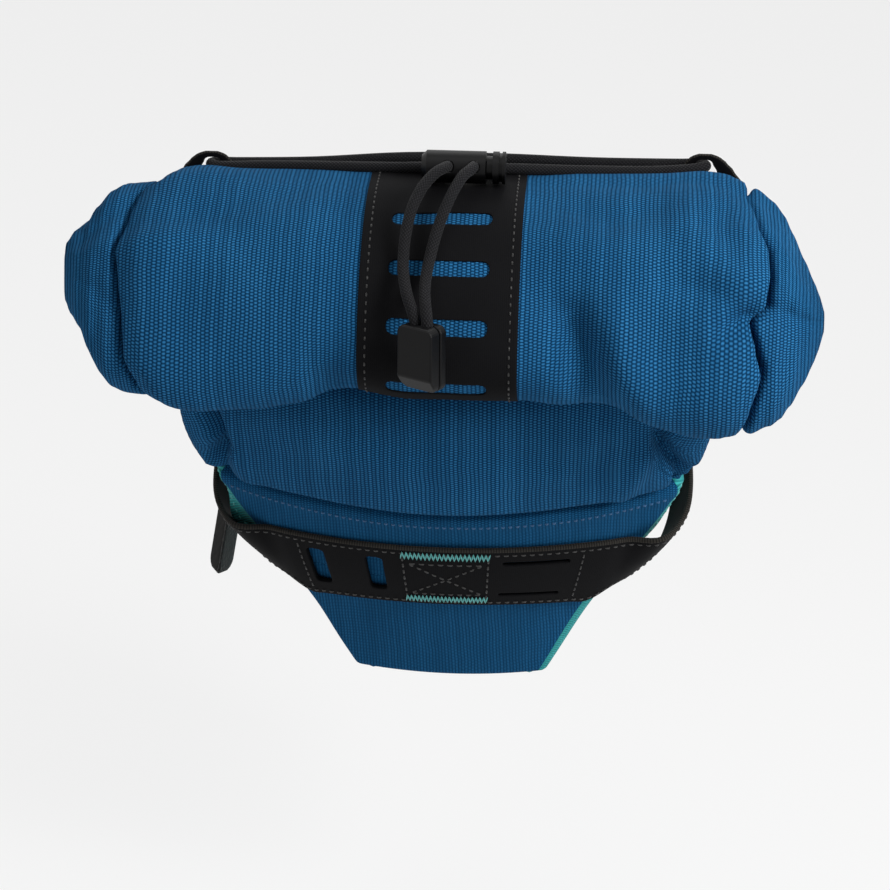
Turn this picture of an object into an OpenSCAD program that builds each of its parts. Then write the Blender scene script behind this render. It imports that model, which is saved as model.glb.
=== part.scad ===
// Roll-top saddle bag, hung from two saddle rails and strapped to the seatpost.
// Frame: origin on the seatpost axis at the middle of the seatpost strap, +X to the
// bag's right as seen from behind the bicycle, +Y forwards, +Z up. Millimetres.

/* [Bicycle] */
// Diameter of the seatpost inside its strap
seatpost_d = 27.2; // [25.4:0.1:27.2]
// Angle of the seatpost above the horizontal
seat_angle = 73; // [72:0.5:74]
// Diameter of the saddle rail loops
rail_d = 7.2; // [7:0.1:7.6]
// Distance between the two rail centres
rail_gap = 44; // [42:1:46]
// Height of the rails above the seatpost strap
rail_z = 95; // [94:1:98]

/* [Bag] */
// Width of the flat bottom at the back
base_w = 64; // [58:1:68]
// Width at the seam between back panel and collar
seam_w = 156; // [148:1:160]
// Width of the collar just under the roll
collar_w = 176; // [170:1:178]
// Height of the sloping back panel
back_h = 75; // [72:1:78]
// Slope of the back panel from the vertical
back_slope = 30; // [28:1:31]
// Thickness of the padded panels
panel_t = 1.6; // [1.2:0.1:1.8]

/* [Roll] */
// Width of the outer wrap
wrap_w = 200; // [190:2:206]
// Width of the inner turns, which show as ears
ear_w = 238; // [226:2:240]
// Radius of the roll's broad back face
roll_r = 48; // [47:0.5:49]
// Width of the slotted patch
patch_w = 50; // [46:1:54]
// Number of slots in the patch
slots = 4; // [3:1:4]
// Distance between slots along the patch
slot_pitch = 18; // [17:0.5:20]

/* [Straps] */
// Width of the yoke strap across the back panel
yoke_w = 28.5; // [27:0.5:30]
// Thickness of the yoke strap
yoke_t = 1.8; // [1.4:0.1:2]
// Width of the rail strap webbing
webbing_w = 20; // [18:1:20]
// Width of the seatpost strap
post_strap_w = 25; // [20:1:28]

/* [Cord] */
// Diameter of the elastic cord
cord_d = 3.6; // [3.4:0.1:4]
// Diameter of the cord lock's barrel
lock_d = 10.4; // [10:0.1:10.6]
// Travel of the cord lock's plunger
plunger_travel = 2; // [1.5:0.5:2]

/* [Hidden] */

$fn = 48;

blue = [0.10, 0.29, 0.47];
teal = [0.20, 0.62, 0.62];
black = [0.09, 0.09, 0.10];
grey = [0.45, 0.45, 0.46];

// ---- Small helpers ----

function mix(a, b, t) = a + (b - a) * t;
function unit(v) = v / norm(v);
function arc(c, r, a0, a1, n) = [for (i = [0:n]) c + r * [cos(mix(a0, a1, i / n)), sin(mix(a0, a1, i / n))]];
function reversed(list) = [for (i = [len(list) - 1:-1:0]) list[i]];
function flipped(points) = [for (p = points) [-p[0], p[1], p[2]]];
// Points of a chain that runs from the mirror image of its last point to its last point
function both_sides(half) = concat(reversed(flipped(half)), [for (i = [1:len(half) - 1]) half[i]]);

// Turns a shape drawn as [y, z] and extruded along z into one that runs along X
module along_x(length) {
    multmatrix([[0, 0, 1, 0], [1, 0, 0, 0], [0, 1, 0, 0]])
        linear_extrude(length, center = true) children();
}

// Closed skin between two grids of points, over the cells for which in_cells(row, column) is true
module skin(outer, inner, rows, cols, in_cells, closed = false) {
    stride = closed ? cols : cols + 1;
    count = (rows + 1) * stride;
    function at(r, c) = r * stride + (closed ? (c + cols) % cols : c);
    function used(r, c) = r >= 0 && r < rows && (closed || (c >= 0 && c < cols))
        && in_cells(r, closed ? (c + cols) % cols : c);
    function wall(a, b) = a < b
        ? [[a, a + count, b + count], [a, b + count, b]]
        : [[a, a + count, b], [a + count, b + count, b]];
    cells = [for (r = [0:rows - 1]) for (c = [0:cols - 1]) if (used(r, c)) [r, c]];
    faces = [for (k = cells)
        let (r = k[0], c = k[1], a = at(r, c), b = at(r, c + 1), d = at(r + 1, c + 1), e = at(r + 1, c))
        for (f = concat(
            [[a, b, d], [a, d, e], [a + count, d + count, b + count], [a + count, e + count, d + count]],
            used(r - 1, c) ? [] : wall(a, b),
            used(r, c + 1) ? [] : wall(b, d),
            used(r + 1, c) ? [] : wall(d, e),
            used(r, c - 1) ? [] : wall(e, a))) reversed(f)];
    flat = concat([for (row = outer) for (p = row) p], [for (row = inner) for (p = row) p]);
    polyhedron(points = flat, faces = faces, convexity = 8);
}

// Slab under or over a ring of points, fanned from its middle
module slab(ring, rise) {
    n = len(ring);
    middle = [for (k = [0:2]) [for (p = ring) p[k]] * [for (p = ring) 1] / n];
    points = concat(ring, [for (p = ring) p + [0, 0, rise]], [middle, middle + [0, 0, rise]]);
    faces = [for (i = [0:n - 1]) let (j = (i + 1) % n)
        for (f = [[i, 2 * n, j], [i + n, j + n, 2 * n + 1], [i, j, j + n], [i, j + n, i + n]]) f];
    polyhedron(points = points, faces = rise > 0 ? faces : [for (f = faces) reversed(f)], convexity = 4);
}

// Flat ribbon between two edge lines: its middle surface is moved out by offset along its own normal
module ribbon(edge_a, edge_b, thickness, offset = 0) {
    n = len(edge_a) - 1;
    function along(i) = (edge_a[min(i + 1, n)] + edge_b[min(i + 1, n)])
        - (edge_a[max(i - 1, 0)] + edge_b[max(i - 1, 0)]);
    function normal(i) = unit(cross(along(i), edge_b[i] - edge_a[i]));
    function shifted(d) = [for (e = [edge_a, edge_b]) [for (i = [0:n]) e[i] + d * normal(i)]];
    skin(shifted(offset + thickness / 2), shifted(offset - thickness / 2), 1, n, function (r, c) true);
}

// Round tube through a route's points, with its two end radii scaled by ends
module tube(route, d, sides, up, ends = [1, 1]) {
    n = len(route) - 1;
    function tangent(i) = unit(route[min(i + 1, n)] - route[max(i - 1, 0)]);
    function scale_at(i) = i == 0 ? ends[0] : i == n ? ends[1] : 1;
    rings = [for (i = [0:n])
        let (t = tangent(i), u = unit(cross(up, t)), v = cross(t, u))
        [for (k = [0:sides - 1]) let (a = 360 * k / sides)
            route[i] + d / 2 * scale_at(i) * (u * cos(a) + v * sin(a))]];
    faces = concat(
        [for (i = [0:n - 1]) for (k = [0:sides - 1])
            let (l = (k + 1) % sides, a = i * sides + k, b = i * sides + l)
            for (f = [[a, a + sides, b + sides], [a, b + sides, b]]) f],
        [for (k = [1:sides - 2]) [0, k, k + 1]],
        [for (k = [1:sides - 2]) [n * sides, n * sides + k + 1, n * sides + k]]);
    polyhedron(points = [for (ring = rings) for (p = ring) p], faces = faces, convexity = 6);
}

// ---- Shape of the bag: rings of points from the base up to the top ----

post_lean = 90 - seat_angle;
seam_z = 18;
seam_y = -172;
base_z = seam_z - back_h;
base_y = seam_y + back_h * tan(back_slope);
collar_z = 60;
collar_y = -189;
top_z = 81;
top_y = -150;
front_gap = 0.7;
// Between a wall's edge and the top or base sewn to it
seam_gap = 0.6;

// Where the front panel's outer face lies at height z, just behind the seatpost
function front_y(z) = -z * tan(post_lean) - (seatpost_d / 2 + front_gap) / cos(post_lean);

// How far the filled bag swells past its straight lines, at the rear corners and along the sides
corner_swell = 2;
side_swell = 7;
swell_reach = 0.36;
side_bulge = 4;

// One level: height and place of the back's middle, half width at its corners, how far the
// corners stand forward and up, half width and height of the front edge, swell of the side
function back_level(k) = [mix(base_z, seam_z, k), mix(base_y, seam_y, k),
    mix(base_w, seam_w, k) / 2 + corner_swell * sin(180 * pow(k, 4)),
    mix(3, 20, k), mix(1, 7, k), mix(23, 31, k), mix(base_z - 5, seam_z + 8, k), side_swell * pow(k, 4)];
function collar_level(k) = [mix(seam_z, collar_z, k), mix(seam_y, collar_y, sin(90 * k)),
    mix(seam_w, collar_w, sin(90 * k)) / 2, mix(20, 18, k), mix(7, 5, k), mix(31, 33, k),
    mix(seam_z + 8, collar_z, k), side_swell * (1 - k)];
function shoulder_level(k) = [mix(collar_z, top_z, sin(90 * k)), mix(collar_y, top_y, 1 - cos(90 * k)),
    mix(collar_w, seam_w, 1 - cos(90 * k)) / 2, mix(18, 2, k), mix(5, 0, k), mix(33, 34, k),
    mix(collar_z, top_z - 3, k), 0];
back_rows = 4;
collar_rows = 3;
shoulder_rows = 4;
levels = concat([for (i = [0:back_rows]) back_level(i / back_rows)],
    [for (i = [1:collar_rows]) collar_level(i / collar_rows)],
    [for (i = [1:shoulder_rows]) shoulder_level(i / shoulder_rows)]);
row_count = len(levels) - 1;

back_cols = 12;
side_cols = 8;
front_cols = 4;
gusset_cols = 3;
col_count = back_cols + 2 * side_cols + front_cols;

// Share of the side, from its rear corner, at which the gusset meets the side panel
function gusset_share(r) = r <= back_rows ? mix(0.3, 0.1, r / back_rows)
    : mix(0.1, 0.46, (r - back_rows) / (row_count - back_rows));
function side_share(r, c) = c <= gusset_cols ? gusset_share(r) * c / gusset_cols
    : mix(gusset_share(r), 1, (c - gusset_cols) / (side_cols - gusset_cols));
function back_point(v, q) = [v[2] * q, v[1] + v[3] * q * q, v[0] + v[4] * q * q];
function swell(v, s) = side_bulge * sin(180 * s) + v[7] * pow(sin(180 * min(1, s / swell_reach)), 2);
function side_point(v, s) = let (rear = back_point(v, 1), front = [v[5], front_y(v[6]), v[6]])
    mix(rear, front, s) + [swell(v, s), 0, 0];
function ring_point(r, c) = let (v = levels[r], front_start = back_cols + side_cols)
    c <= back_cols ? back_point(v, 2 * c / back_cols - 1)
    : c <= front_start ? side_point(v, side_share(r, c - back_cols))
    : c <= front_start + front_cols
        ? [mix(v[5], -v[5], (c - front_start) / front_cols), front_y(v[6]), v[6]]
    : let (p = side_point(v, side_share(r, col_count - c))) [-p[0], p[1], p[2]];
outer_grid = [for (r = [0:row_count]) [for (c = [0:col_count - 1]) ring_point(r, c)]];
function grid_normal(r, c) = let (
    right = outer_grid[r][(c + 1) % col_count] - outer_grid[r][(c + col_count - 1) % col_count],
    above = outer_grid[min(r + 1, row_count)][c] - outer_grid[max(r - 1, 0)][c]) unit(cross(right, above));
normals = [for (r = [0:row_count]) [for (c = [0:col_count - 1]) grid_normal(r, c)]];
function grid_inside(depth) = [for (r = [0:row_count])
    [for (c = [0:col_count - 1]) outer_grid[r][c] - depth * normals[r][c]]];

right_start = back_cols;
front_start = back_cols + side_cols;
left_start = front_start + front_cols;

module panel(from, to, in_cells) {
    skin(grid_inside(from), grid_inside(to), row_count, col_count, in_cells, closed = true);
}

module rear_panel() {
    color(blue) panel(0, panel_t, function (r, c) r < back_rows && c < right_start);
}

// Plastic sheet inside the back panel, one column short of each seam
stiffener_gap = 0.3;
stiffener_t = 0.9;
module rear_stiffener() {
    color(grey) panel(panel_t + stiffener_gap, panel_t + stiffener_gap + stiffener_t,
        function (r, c) r > 0 && r < back_rows && c > 0 && c < right_start - 1);
}

module base_panel() {
    color(black) translate([0, 0, -seam_gap]) slab(outer_grid[0], -panel_t);
}

module base_stiffener() {
    inset = 0.86;
    lift = 1.8;
    ring = outer_grid[0];
    middle = [0, (base_y + front_y(base_z)) / 2, base_z];
    color(grey) slab([for (p = ring) [middle[0] + (p[0] - middle[0]) * inset,
        middle[1] + (p[1] - middle[1]) * inset, p[2] + lift]], stiffener_t);
}

function is_gusset(r, share_col) = r >= back_rows && share_col < gusset_cols;

module right_side_panel() {
    color(teal) panel(0, panel_t, function (r, c)
        c >= right_start && c < front_start && !is_gusset(r, c - right_start));
}

module left_side_panel() {
    color(teal) panel(0, panel_t, function (r, c)
        c >= left_start && !is_gusset(r, col_count - 1 - c));
}

module collar_right_gusset() {
    color(blue) panel(0, panel_t, function (r, c)
        c >= right_start && c < front_start && is_gusset(r, c - right_start));
}

module collar_left_gusset() {
    color(blue) panel(0, panel_t, function (r, c)
        c >= left_start && is_gusset(r, col_count - 1 - c));
}

module collar_rear() {
    color(blue) panel(0, panel_t, function (r, c) r >= back_rows && c < right_start);
}

module front_panel() {
    color(black) panel(0, panel_t, function (r, c) c >= front_start && c < left_start);
}

// The top is one slab, cut where the collar begins
collar_front_y = -108;
module top_half(from_y, to_y) {
    reach = 200;
    intersection() {
        translate([0, 0, seam_gap]) slab(outer_grid[row_count], panel_t);
        translate([-reach / 2, from_y, top_z - reach / 2]) cube([reach, to_y - from_y, reach]);
    }
}

module top_panel() {
    color(black) top_half(collar_front_y, 0);
}

module collar_front() {
    color(blue) top_half(top_y - 20, collar_front_y);
}

// ---- Yoke strap: across the back panel, round both corners and up the sides ----

yoke_gap = 0.4;
yoke_top_k = 0.81;
yoke_bottom_k = yoke_top_k - yoke_w * cos(back_slope) / back_h;
yoke_droop = 0.07;
flat_cols = 8;
flat_q = 0.9;
function yoke_flat(k) = [for (i = [0:flat_cols]) let (q = flat_q * i / flat_cols)
    back_point(back_level(k - yoke_droop * q * q), q)];
yoke_upper_edge = both_sides(concat(yoke_flat(yoke_top_k),
    [[71, -150.5, 5], [76.5, -143, 7], [79.8, -134, 12.5], [79.5, -121, 23], [75.5, -109, 38]]));
yoke_lower_edge = both_sides(concat(yoke_flat(yoke_bottom_k),
    [[53, -137.5, -18.5], [61.5, -131.5, -14.5], [70.3, -123.5, -8], [74.5, -112.5, 3.5], [73, -99.5, 18.5]]));

// Slots are cut through the strap square to the back panel, at a place x along it and
// down from the strap's upper edge
module yoke_cutter(x, down, w, h) {
    corner = min(w, h) / 2 - 0.1;
    k = yoke_top_k - down * cos(back_slope) / back_h;
    level = back_level(k);
    translate(back_point(level, x / level[2])) rotate([90 + back_slope, 0, 0])
        linear_extrude(14, center = true) {
            square([w - 2 * corner, h], center = true);
            square([w, h - 2 * corner], center = true);
            for (sx = [-1, 1], sy = [-1, 1])
                translate([sx * (w / 2 - corner), sy * (h / 2 - corner)]) circle(corner);
        }
}

light_slot = [5.6, 17];
light_slit = [22, 1.8];
slit_inset = 6;
module yoke_strap() {
    color(black) difference() {
        ribbon(yoke_lower_edge, yoke_upper_edge, yoke_t, yoke_gap + yoke_t / 2);
        for (x = [-41, -21]) yoke_cutter(x, yoke_w / 2, light_slot[0], light_slot[1]);
        for (down = [slit_inset, yoke_w - slit_inset]) yoke_cutter(29, down, light_slit[0], light_slit[1]);
    }
}

// ---- Rail straps: doubled webbing sewn inside the yoke's arm, up round the saddle rail ----

rail_strap_y = -72;
rail_x = rail_gap / 2;
rail_loop_t = 1.6;
doubled_t = 2 * rail_loop_t;
// The edge lines below are drawn for webbing this wide
drawn_w = 20;
strap_front = [[72.4, -99.5, 20], [68.3, -91.5, 40], [64, -84, 60], [60.5, -75, 77], [53, -66, 89.5],
    [41, -62, rail_z], [26.2, -62, rail_z]];
strap_back = [[75.2, -114, 33], [72.8, -106.5, 53], [69, -101, 70], [64, -94, 84], [54.5, -85, 93],
    [41, -82, rail_z], [26.2, -82, rail_z]];

module rail_strap() {
    share = webbing_w / drawn_w;
    color(black) union() {
        ribbon(strap_back, [for (i = [0:len(strap_front) - 1])
            mix(strap_back[i], strap_front[i], share)], doubled_t, doubled_t / 2);
        translate([rail_x, rail_strap_y, rail_z]) rotate([90, 0, 0]) difference() {
            cylinder(h = drawn_w, r = rail_d / 2 + rail_loop_t, center = true);
            cylinder(h = drawn_w + 2, r = rail_d / 2, center = true);
        }
    }
}

module right_rail_strap() {
    rail_strap();
}

module left_rail_strap() {
    mirror([1, 0, 0]) rail_strap();
}

// Free end of the left rail strap: folded lengthwise, hanging below the yoke's arm
tail_pivot = [-78, -101, 10];
tail_length = 45;
tail_w = 18;
tail_t = 2.2;
tail_turn = 62;
tail_lean = 9.5;
tail_chamfer = 3;
module strap_tail() {
    half = tail_w / 2 * [cos(tail_turn), sin(tail_turn)];
    inner = half + tail_t * [-sin(tail_turn), cos(tail_turn)];
    inner_apex = [0, tail_t / cos(tail_turn)];
    wide = half[0] + 1;
    color(black) translate(tail_pivot) rotate([0, tail_lean, 0]) intersection() {
        linear_extrude(2 * tail_length, center = true)
            polygon([[0, 0], half, inner, inner_apex, [-inner[0], inner[1]], [-half[0], half[1]]]);
        rotate([90, 0, 0]) linear_extrude(3 * tail_w, center = true)
            polygon([[-wide, 0], [-wide, -tail_length + tail_chamfer], [-wide + tail_chamfer, -tail_length],
                [wide - tail_chamfer, -tail_length], [wide, -tail_length + tail_chamfer], [wide, 0]]);
    }
}

// ---- Seatpost strap: two hook and loop halves sewn on the front panel ----

post_strap_t = 2;
flange = 12;
module on_seatpost() {
    rotate([post_lean, 0, 0]) children();
}

module half_loop(r, leg) {
    intersection() {
        difference() {
            cylinder(h = post_strap_w, r = r + post_strap_t, center = true, $fn = 96);
            cylinder(h = post_strap_w + 2, r = r, center = true, $fn = 96);
        }
        translate([-40, 0, -40]) cube([80, 40, 80]);
    }
    for (side = leg) translate([side * (r + post_strap_t / 2), -leg_length / 2, 0])
        cube([post_strap_t, leg_length, post_strap_w], center = true);
}

leg_length = seatpost_d / 2 + front_gap - 0.2;
module sewn_flange(side) {
    translate([side * (seatpost_d / 2 + post_strap_t + flange / 2), -leg_length + post_strap_t / 2, 0])
        cube([flange, post_strap_t, post_strap_w], center = true);
}

module seatpost_strap_loop() {
    color(black) on_seatpost() {
        half_loop(seatpost_d / 2, [-1]);
        sewn_flange(-1);
    }
}

// The hook half lies on the loop half over its right hand quarter
hook_gap = 0.3;
module seatpost_strap_hook() {
    r = seatpost_d / 2 + post_strap_t + hook_gap;
    color(black) on_seatpost() {
        intersection() {
            half_loop(r, [1]);
            translate([-8, -40, -40]) cube([60, 80, 80]);
        }
        translate([post_strap_t + hook_gap, 0, 0]) sewn_flange(1);
    }
}

// ---- Roll: one fabric band wound round itself, drawn as [y, z] and run along X ----

face_tilt = 18;
roll_c = [-166, 81.5];
crest_a = 90 - face_tilt;
face_a = 180 - face_tilt;
nose_r = 10;
nose_c = roll_c + (roll_r - nose_r) * [cos(crest_a), sin(crest_a)];
chin_r = 14;
chin_drop = 8;
chin_c = roll_c + (roll_r - chin_r) * [cos(face_a), sin(face_a)] + chin_drop * [-sin(face_tilt), -cos(face_tilt)];
hinge = [-148, 86];
roll_outline = concat(arc(roll_c, roll_r, face_a, crest_a, 12), arc(nose_c, nose_r, crest_a - 18, -8, 5),
    [hinge + [1, 4], hinge + [-3, 1]], arc(chin_c, chin_r, 268, face_a, 6));
roll_n = len(roll_outline);
roll_middle = [-181, 98];

function shrunk(share) = [for (p = roll_outline) roll_middle + (p - roll_middle) * share];
function outline_normal(i) = let (t = unit(roll_outline[(i + 1) % roll_n] - roll_outline[(i + roll_n - 1) % roll_n]))
    [-t[1], t[0]];
function swollen(d) = [for (i = [0:roll_n - 1]) roll_outline[i] + d * outline_normal(i)];

wrap_share = 0.94;
module roll_outer_wrap() {
    color(blue) along_x(wrap_w) difference() {
        polygon(roll_outline);
        polygon(shrunk(wrap_share));
    }
}

// A band that winds inwards from share_from to share_to over the given number of turns
turns = 1.75;
turn_start = 20;
turn_share = [0.925, 0.62];
turn_t = 0.05;
function turn_point(i, less) = let (n = turns * roll_n, share = mix(turn_share[0], turn_share[1], i / n) - less)
    roll_middle + (roll_outline[(turn_start + i) % roll_n] - roll_middle) * share;
module roll_inner_turns() {
    last = floor(turns * roll_n);
    color(blue) along_x(ear_w) polygon(concat(
        [for (i = [0:last]) turn_point(i, 0)], [for (i = [last:-1:0]) turn_point(i, turn_t)]));
}

// Flat batten sewn into the mouth's hem, which the roll is wound on
batten_short = 24;
batten_size = [18, 1.2];
module mouth_stiffener() {
    color(grey) translate([0, roll_middle[0], roll_middle[1]]) rotate([15, 0, 0])
        cube([ear_w - batten_short, batten_size[0], batten_size[1]], center = true);
}

// Slotted patch: the sector of the roll from behind the crest to the chin, laid on the wrap
patch_gap = 0.35;
patch_t = 1.1;
patch_last = 12;
patch_first_extra = 4;
patch_index = concat([for (i = [roll_n - 4:roll_n - 1]) i], [for (i = [1:patch_last + patch_first_extra]) i]);
patch_outer = swollen(patch_gap + patch_t);
patch_inner = swollen(patch_gap);

// Slot k lies k pitches up the face from the one that faces straight back
slot_size = [31.5, 5];
slot_cut = 8;
function slot_angle(k) = face_a - k * slot_pitch / roll_r * 180 / PI;
module patch_slot(k) {
    a = slot_angle(k);
    translate([0, roll_c[0] + roll_r * cos(a), roll_c[1] + roll_r * sin(a)]) rotate([a - 90, 0, 0]) {
        cube([slot_size[0] - slot_size[1], slot_size[1], slot_cut], center = true);
        for (side = [-1, 1]) translate([side * (slot_size[0] - slot_size[1]) / 2, 0, 0])
            cylinder(h = slot_cut, d = slot_size[1], center = true);
    }
}

// The lowest slot is on the chin, where the roll turns under
chin_slot_a = 207;
module chin_slot() {
    translate([0, chin_c[0], chin_c[1]]) rotate([chin_slot_a - 90, 0, 0]) translate([0, 0, chin_r])
        cube([slot_size[0] - slot_size[1], slot_size[1], slot_cut], center = true);
}

module slotted_patch() {
    color(black) difference() {
        along_x(patch_w) polygon(concat([for (i = patch_index) patch_outer[i]],
            [for (i = reversed(patch_index)) patch_inner[i]]));
        for (k = [0:slots - 2]) patch_slot(k);
        chin_slot();
    }
}

// ---- Cord tabs: a bent strip behind each end of the roll with a slot for the cord ----

tab_t = 1.4;
tab_back_y = -143.4;
tab_bend_z = 117;
tab_top = [-149.8, 139];
tab_root_z = 98;
// Middle of the round top of each slot, where the cord hangs: [distance from the middle, height]
left_hole = [78.5, 127.9];
right_hole = [81.5, 131.6];
hole_drop = 5;
module cord_tab(hole) {
    hole_d = cord_d + 2.4;
    color(black) difference() {
        intersection() {
            along_x(400) polygon([[tab_back_y, tab_root_z], [tab_back_y + tab_t, tab_root_z],
                [tab_back_y + tab_t, tab_bend_z], tab_top + [tab_t, 0], tab_top, [tab_back_y, tab_bend_z]]);
            translate([hole[0], tab_back_y + 10, hole[1]]) rotate([90, 0, 0]) linear_extrude(40)
                polygon([[-9, tab_root_z - hole[1]], [14, tab_root_z - hole[1]], [8.5, -6], [5.5, 0],
                    [3.6, 3], [0, 4.4], [-3.4, 3.4], [-4.9, 1], [-5.6, -5]]);
        }
        for (drop = [0, hole_drop]) translate([hole[0], tab_back_y, hole[1] - drop]) rotate([90, 0, 0])
            cylinder(h = 20, d = hole_d, center = true);
        translate([hole[0], tab_back_y, hole[1] - hole_drop / 2]) cube([hole_d, 20, hole_drop], center = true);
    }
}

module right_cord_tab() {
    cord_tab(right_hole);
}

module left_cord_tab() {
    mirror([1, 0, 0]) cord_tab(left_hole);
}

// ---- Cord lock: barrel, sprung plunger and the elastic cord through both ----

lock_c = [-8.2, -170.5, 136.5];
lock_tilt = 15;
barrel_l = 20.4;
hole_x = [8.4, 16.6];
bore_d = 7.6;
bore_floor = 1.4;
plunger_d = 7.4;
head_l = 4;
plunger_in = 15;
cross_d = cord_d + 0.6;

module at_lock() {
    translate(lock_c) rotate([-lock_tilt, 0, 0]) children();
}

module lengthwise(x, length, d) {
    translate([x, 0, 0]) rotate([0, 90, 0]) cylinder(h = length, d = d);
}

module cord_lock_barrel() {
    end_r = 1.6;
    color(black) at_lock() difference() {
        union() {
            lengthwise(end_r, barrel_l - end_r, lock_d);
            rotate([0, 90, 0]) cylinder(h = end_r, d1 = lock_d - 2 * end_r, d2 = lock_d);
        }
        lengthwise(bore_floor, barrel_l, bore_d);
        for (x = hole_x) translate([x, 0, 0]) rotate([90, 0, 0]) cylinder(h = 20, d = cross_d, center = true);
    }
}

// The window is long enough for both cords over the whole travel
module cord_lock_plunger() {
    start = barrel_l - plunger_in;
    window = [hole_x[0] - cross_d / 2, hole_x[1] + cross_d / 2 + plunger_travel];
    groove = [1, 0.8];
    color(black) at_lock() difference() {
        union() {
            lengthwise(start, plunger_in + plunger_travel + 0.2, plunger_d);
            lengthwise(barrel_l + plunger_travel + 0.2, head_l, lock_d);
        }
        translate([window[0], -10, -cross_d / 2]) cube([window[1] - window[0], 20, cross_d]);
        translate([barrel_l + plunger_travel + 2.2, 0, 0]) difference() {
            lengthwise(0, groove[0], lock_d + 2);
            lengthwise(-1, groove[0] + 2, lock_d - 2 * groove[1]);
        }
    }
}

spring_d = 5.6;
spring_wire = 0.5;
module cord_lock_spring() {
    length = barrel_l - plunger_in - bore_floor - 0.1;
    coils = 3;
    steps = 10;
    n = coils * steps;
    color(grey) at_lock() translate([bore_floor + 0.05 + spring_wire / 2, 0, 0])
        tube([for (i = [0:n]) let (a = 360 * i / steps)
            [(length - spring_wire) * i / n, (spring_d - spring_wire) / 2 * cos(a),
                (spring_d - spring_wire) / 2 * sin(a)]], spring_wire, 6, [1, 0, 0]);
}

// Where a cord through hole x lies in the row frame, out along the hole's own axis
function lock_point(x, out) = [lock_c[0] + x, lock_c[1] - out * cos(lock_tilt), lock_c[2] + out * sin(lock_tilt)];
tail_root_out = 7.6;
root_gap = 2.7;

// The cord runs out of hole 1 to the left tab, back along the crest to the right tab and in at hole 2
cord_route = [lock_point(hole_x[0], tail_root_out - root_gap), lock_point(hole_x[0], 0),
    lock_point(hole_x[0], -6), [-2.5, -161.5, 134], [-8, -160, 133.3], [-20, -159, 132.6],
    [-40, -156, 131.6], [-60, -152.5, 130.3], [-71, -151, 129.4], [-76.5, -149.6, 129],
    [-78.8, -147.6, 129], [-78.5, -145.3, 129], [-75.5, -143.2, 128.7], [-69, -142, 128.4],
    [-45, -141.5, 129.2], [-15, -141.5, 131.5], [15, -141.5, 131.9], [45, -141.5, 131.4],
    [72, -142, 131.8], [78.5, -143.2, 132.4], [81.5, -145.3, 132.7], [81.8, -147.6, 132.7],
    [79.5, -149.6, 132.6], [74, -151, 132.2], [62, -152.5, 131.8], [40, -155.5, 132.3],
    [25, -158, 133], [16, -159.5, 133.4], [11, -161, 134],
    lock_point(hole_x[1], -6), lock_point(hole_x[1], 0), lock_point(hole_x[1], tail_root_out - root_gap)];
module shock_cord() {
    color(black) tube(cord_route, cord_d, 8, [0, 0.2, 1]);
}

// ---- Cord tails: two free ends that hang over the roll to the cord end ----

left_tail_route = [lock_point(hole_x[0], tail_root_out - 2), lock_point(hole_x[0], tail_root_out - 1.2),
    lock_point(hole_x[0], tail_root_out), [-0.9, -181, 138.6], [-3.2, -185, 138], [-6.8, -190, 134.5],
    [-9.6, -195.5, 129], [-10.9, -201, 122.5], [-11.2, -206, 116.2], [-10.8, -210.4, 112.6],
    [-9.9, -214.4, 109.8], [-8.7, -218.2, 107], [-7.2, -221.2, 104.2], [-6.2, -222.7, 101.4],
    [-5.85, -223, 98.6], [-5.85, -223, 95]];
right_tail_route = [lock_point(hole_x[1], tail_root_out - 2), lock_point(hole_x[1], tail_root_out - 1.2),
    lock_point(hole_x[1], tail_root_out), [7.6, -181, 138.3], [5.6, -185, 137.3], [3.2, -190, 134],
    [0.5, -195.5, 128.5], [-1.7, -201, 122], [-3.2, -206.5, 115.6], [-3.8, -211, 111.8],
    [-3.8, -215.4, 109], [-3.4, -219.3, 106.8], [-2.8, -222.7, 104.5], [-2.35, -224.7, 101.8],
    [-2.15, -225.4, 98.8], [-2.15, -225.4, 95]];

module left_cord_tail() {
    color(black) tube(left_tail_route, cord_d, 8, [1, 0, 0], [0.55, 1]);
}

module right_cord_tail() {
    color(black) tube(right_tail_route, cord_d, 8, [1, 0, 0], [0.55, 1]);
}

// Cord end: a clamshell that snaps shut on the two cord ends, hanging on the roll's face
end_size = [13.2, 8, 21];
end_c = [-4, -224.2, 90.3];
end_turn = -33;
cover_depth = 4.6;
end_chamfer = 4.5;
channel_x = 2.2;
knot_room = [9, 5, 7.2];
module cord_end(from, to) {
    r = 2.2;
    color(black) translate(end_c) rotate([0, 0, end_turn]) difference() {
        intersection() {
            rotate([90, 0, 0]) linear_extrude(end_size[1] + 2, center = true) {
                square([end_size[0] - 2 * r, end_size[2]], center = true);
                square([end_size[0], end_size[2] - 2 * r], center = true);
                for (sx = [-1, 1], sy = [-1, 1])
                    translate([sx * (end_size[0] / 2 - r), sy * (end_size[2] / 2 - r)]) circle(r);
            }
            along_x(end_size[0] + 2) polygon([[-end_size[1] / 2, end_size[2] / 2], [end_size[1] / 2, end_size[2] / 2],
                [end_size[1] / 2, -end_size[2] / 2], [-end_size[1] / 2 + end_chamfer * 0.7, -end_size[2] / 2],
                [-end_size[1] / 2, -end_size[2] / 2 + end_chamfer]]);
            translate([-20, from, -20]) cube([40, to - from, 40]);
        }
        for (side = [-1, 1]) translate([side * channel_x, 0, 2]) cylinder(h = 12, d = cord_d + 0.8);
        translate([0, 0, -1.5]) cube(knot_room, center = true);
    }
}

module cord_end_body() {
    cord_end(-end_size[1] / 2 + cover_depth + 0.1, end_size[1] / 2);
}

module cord_end_cover() {
    cord_end(-end_size[1] / 2, -end_size[1] / 2 + cover_depth);
}

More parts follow.
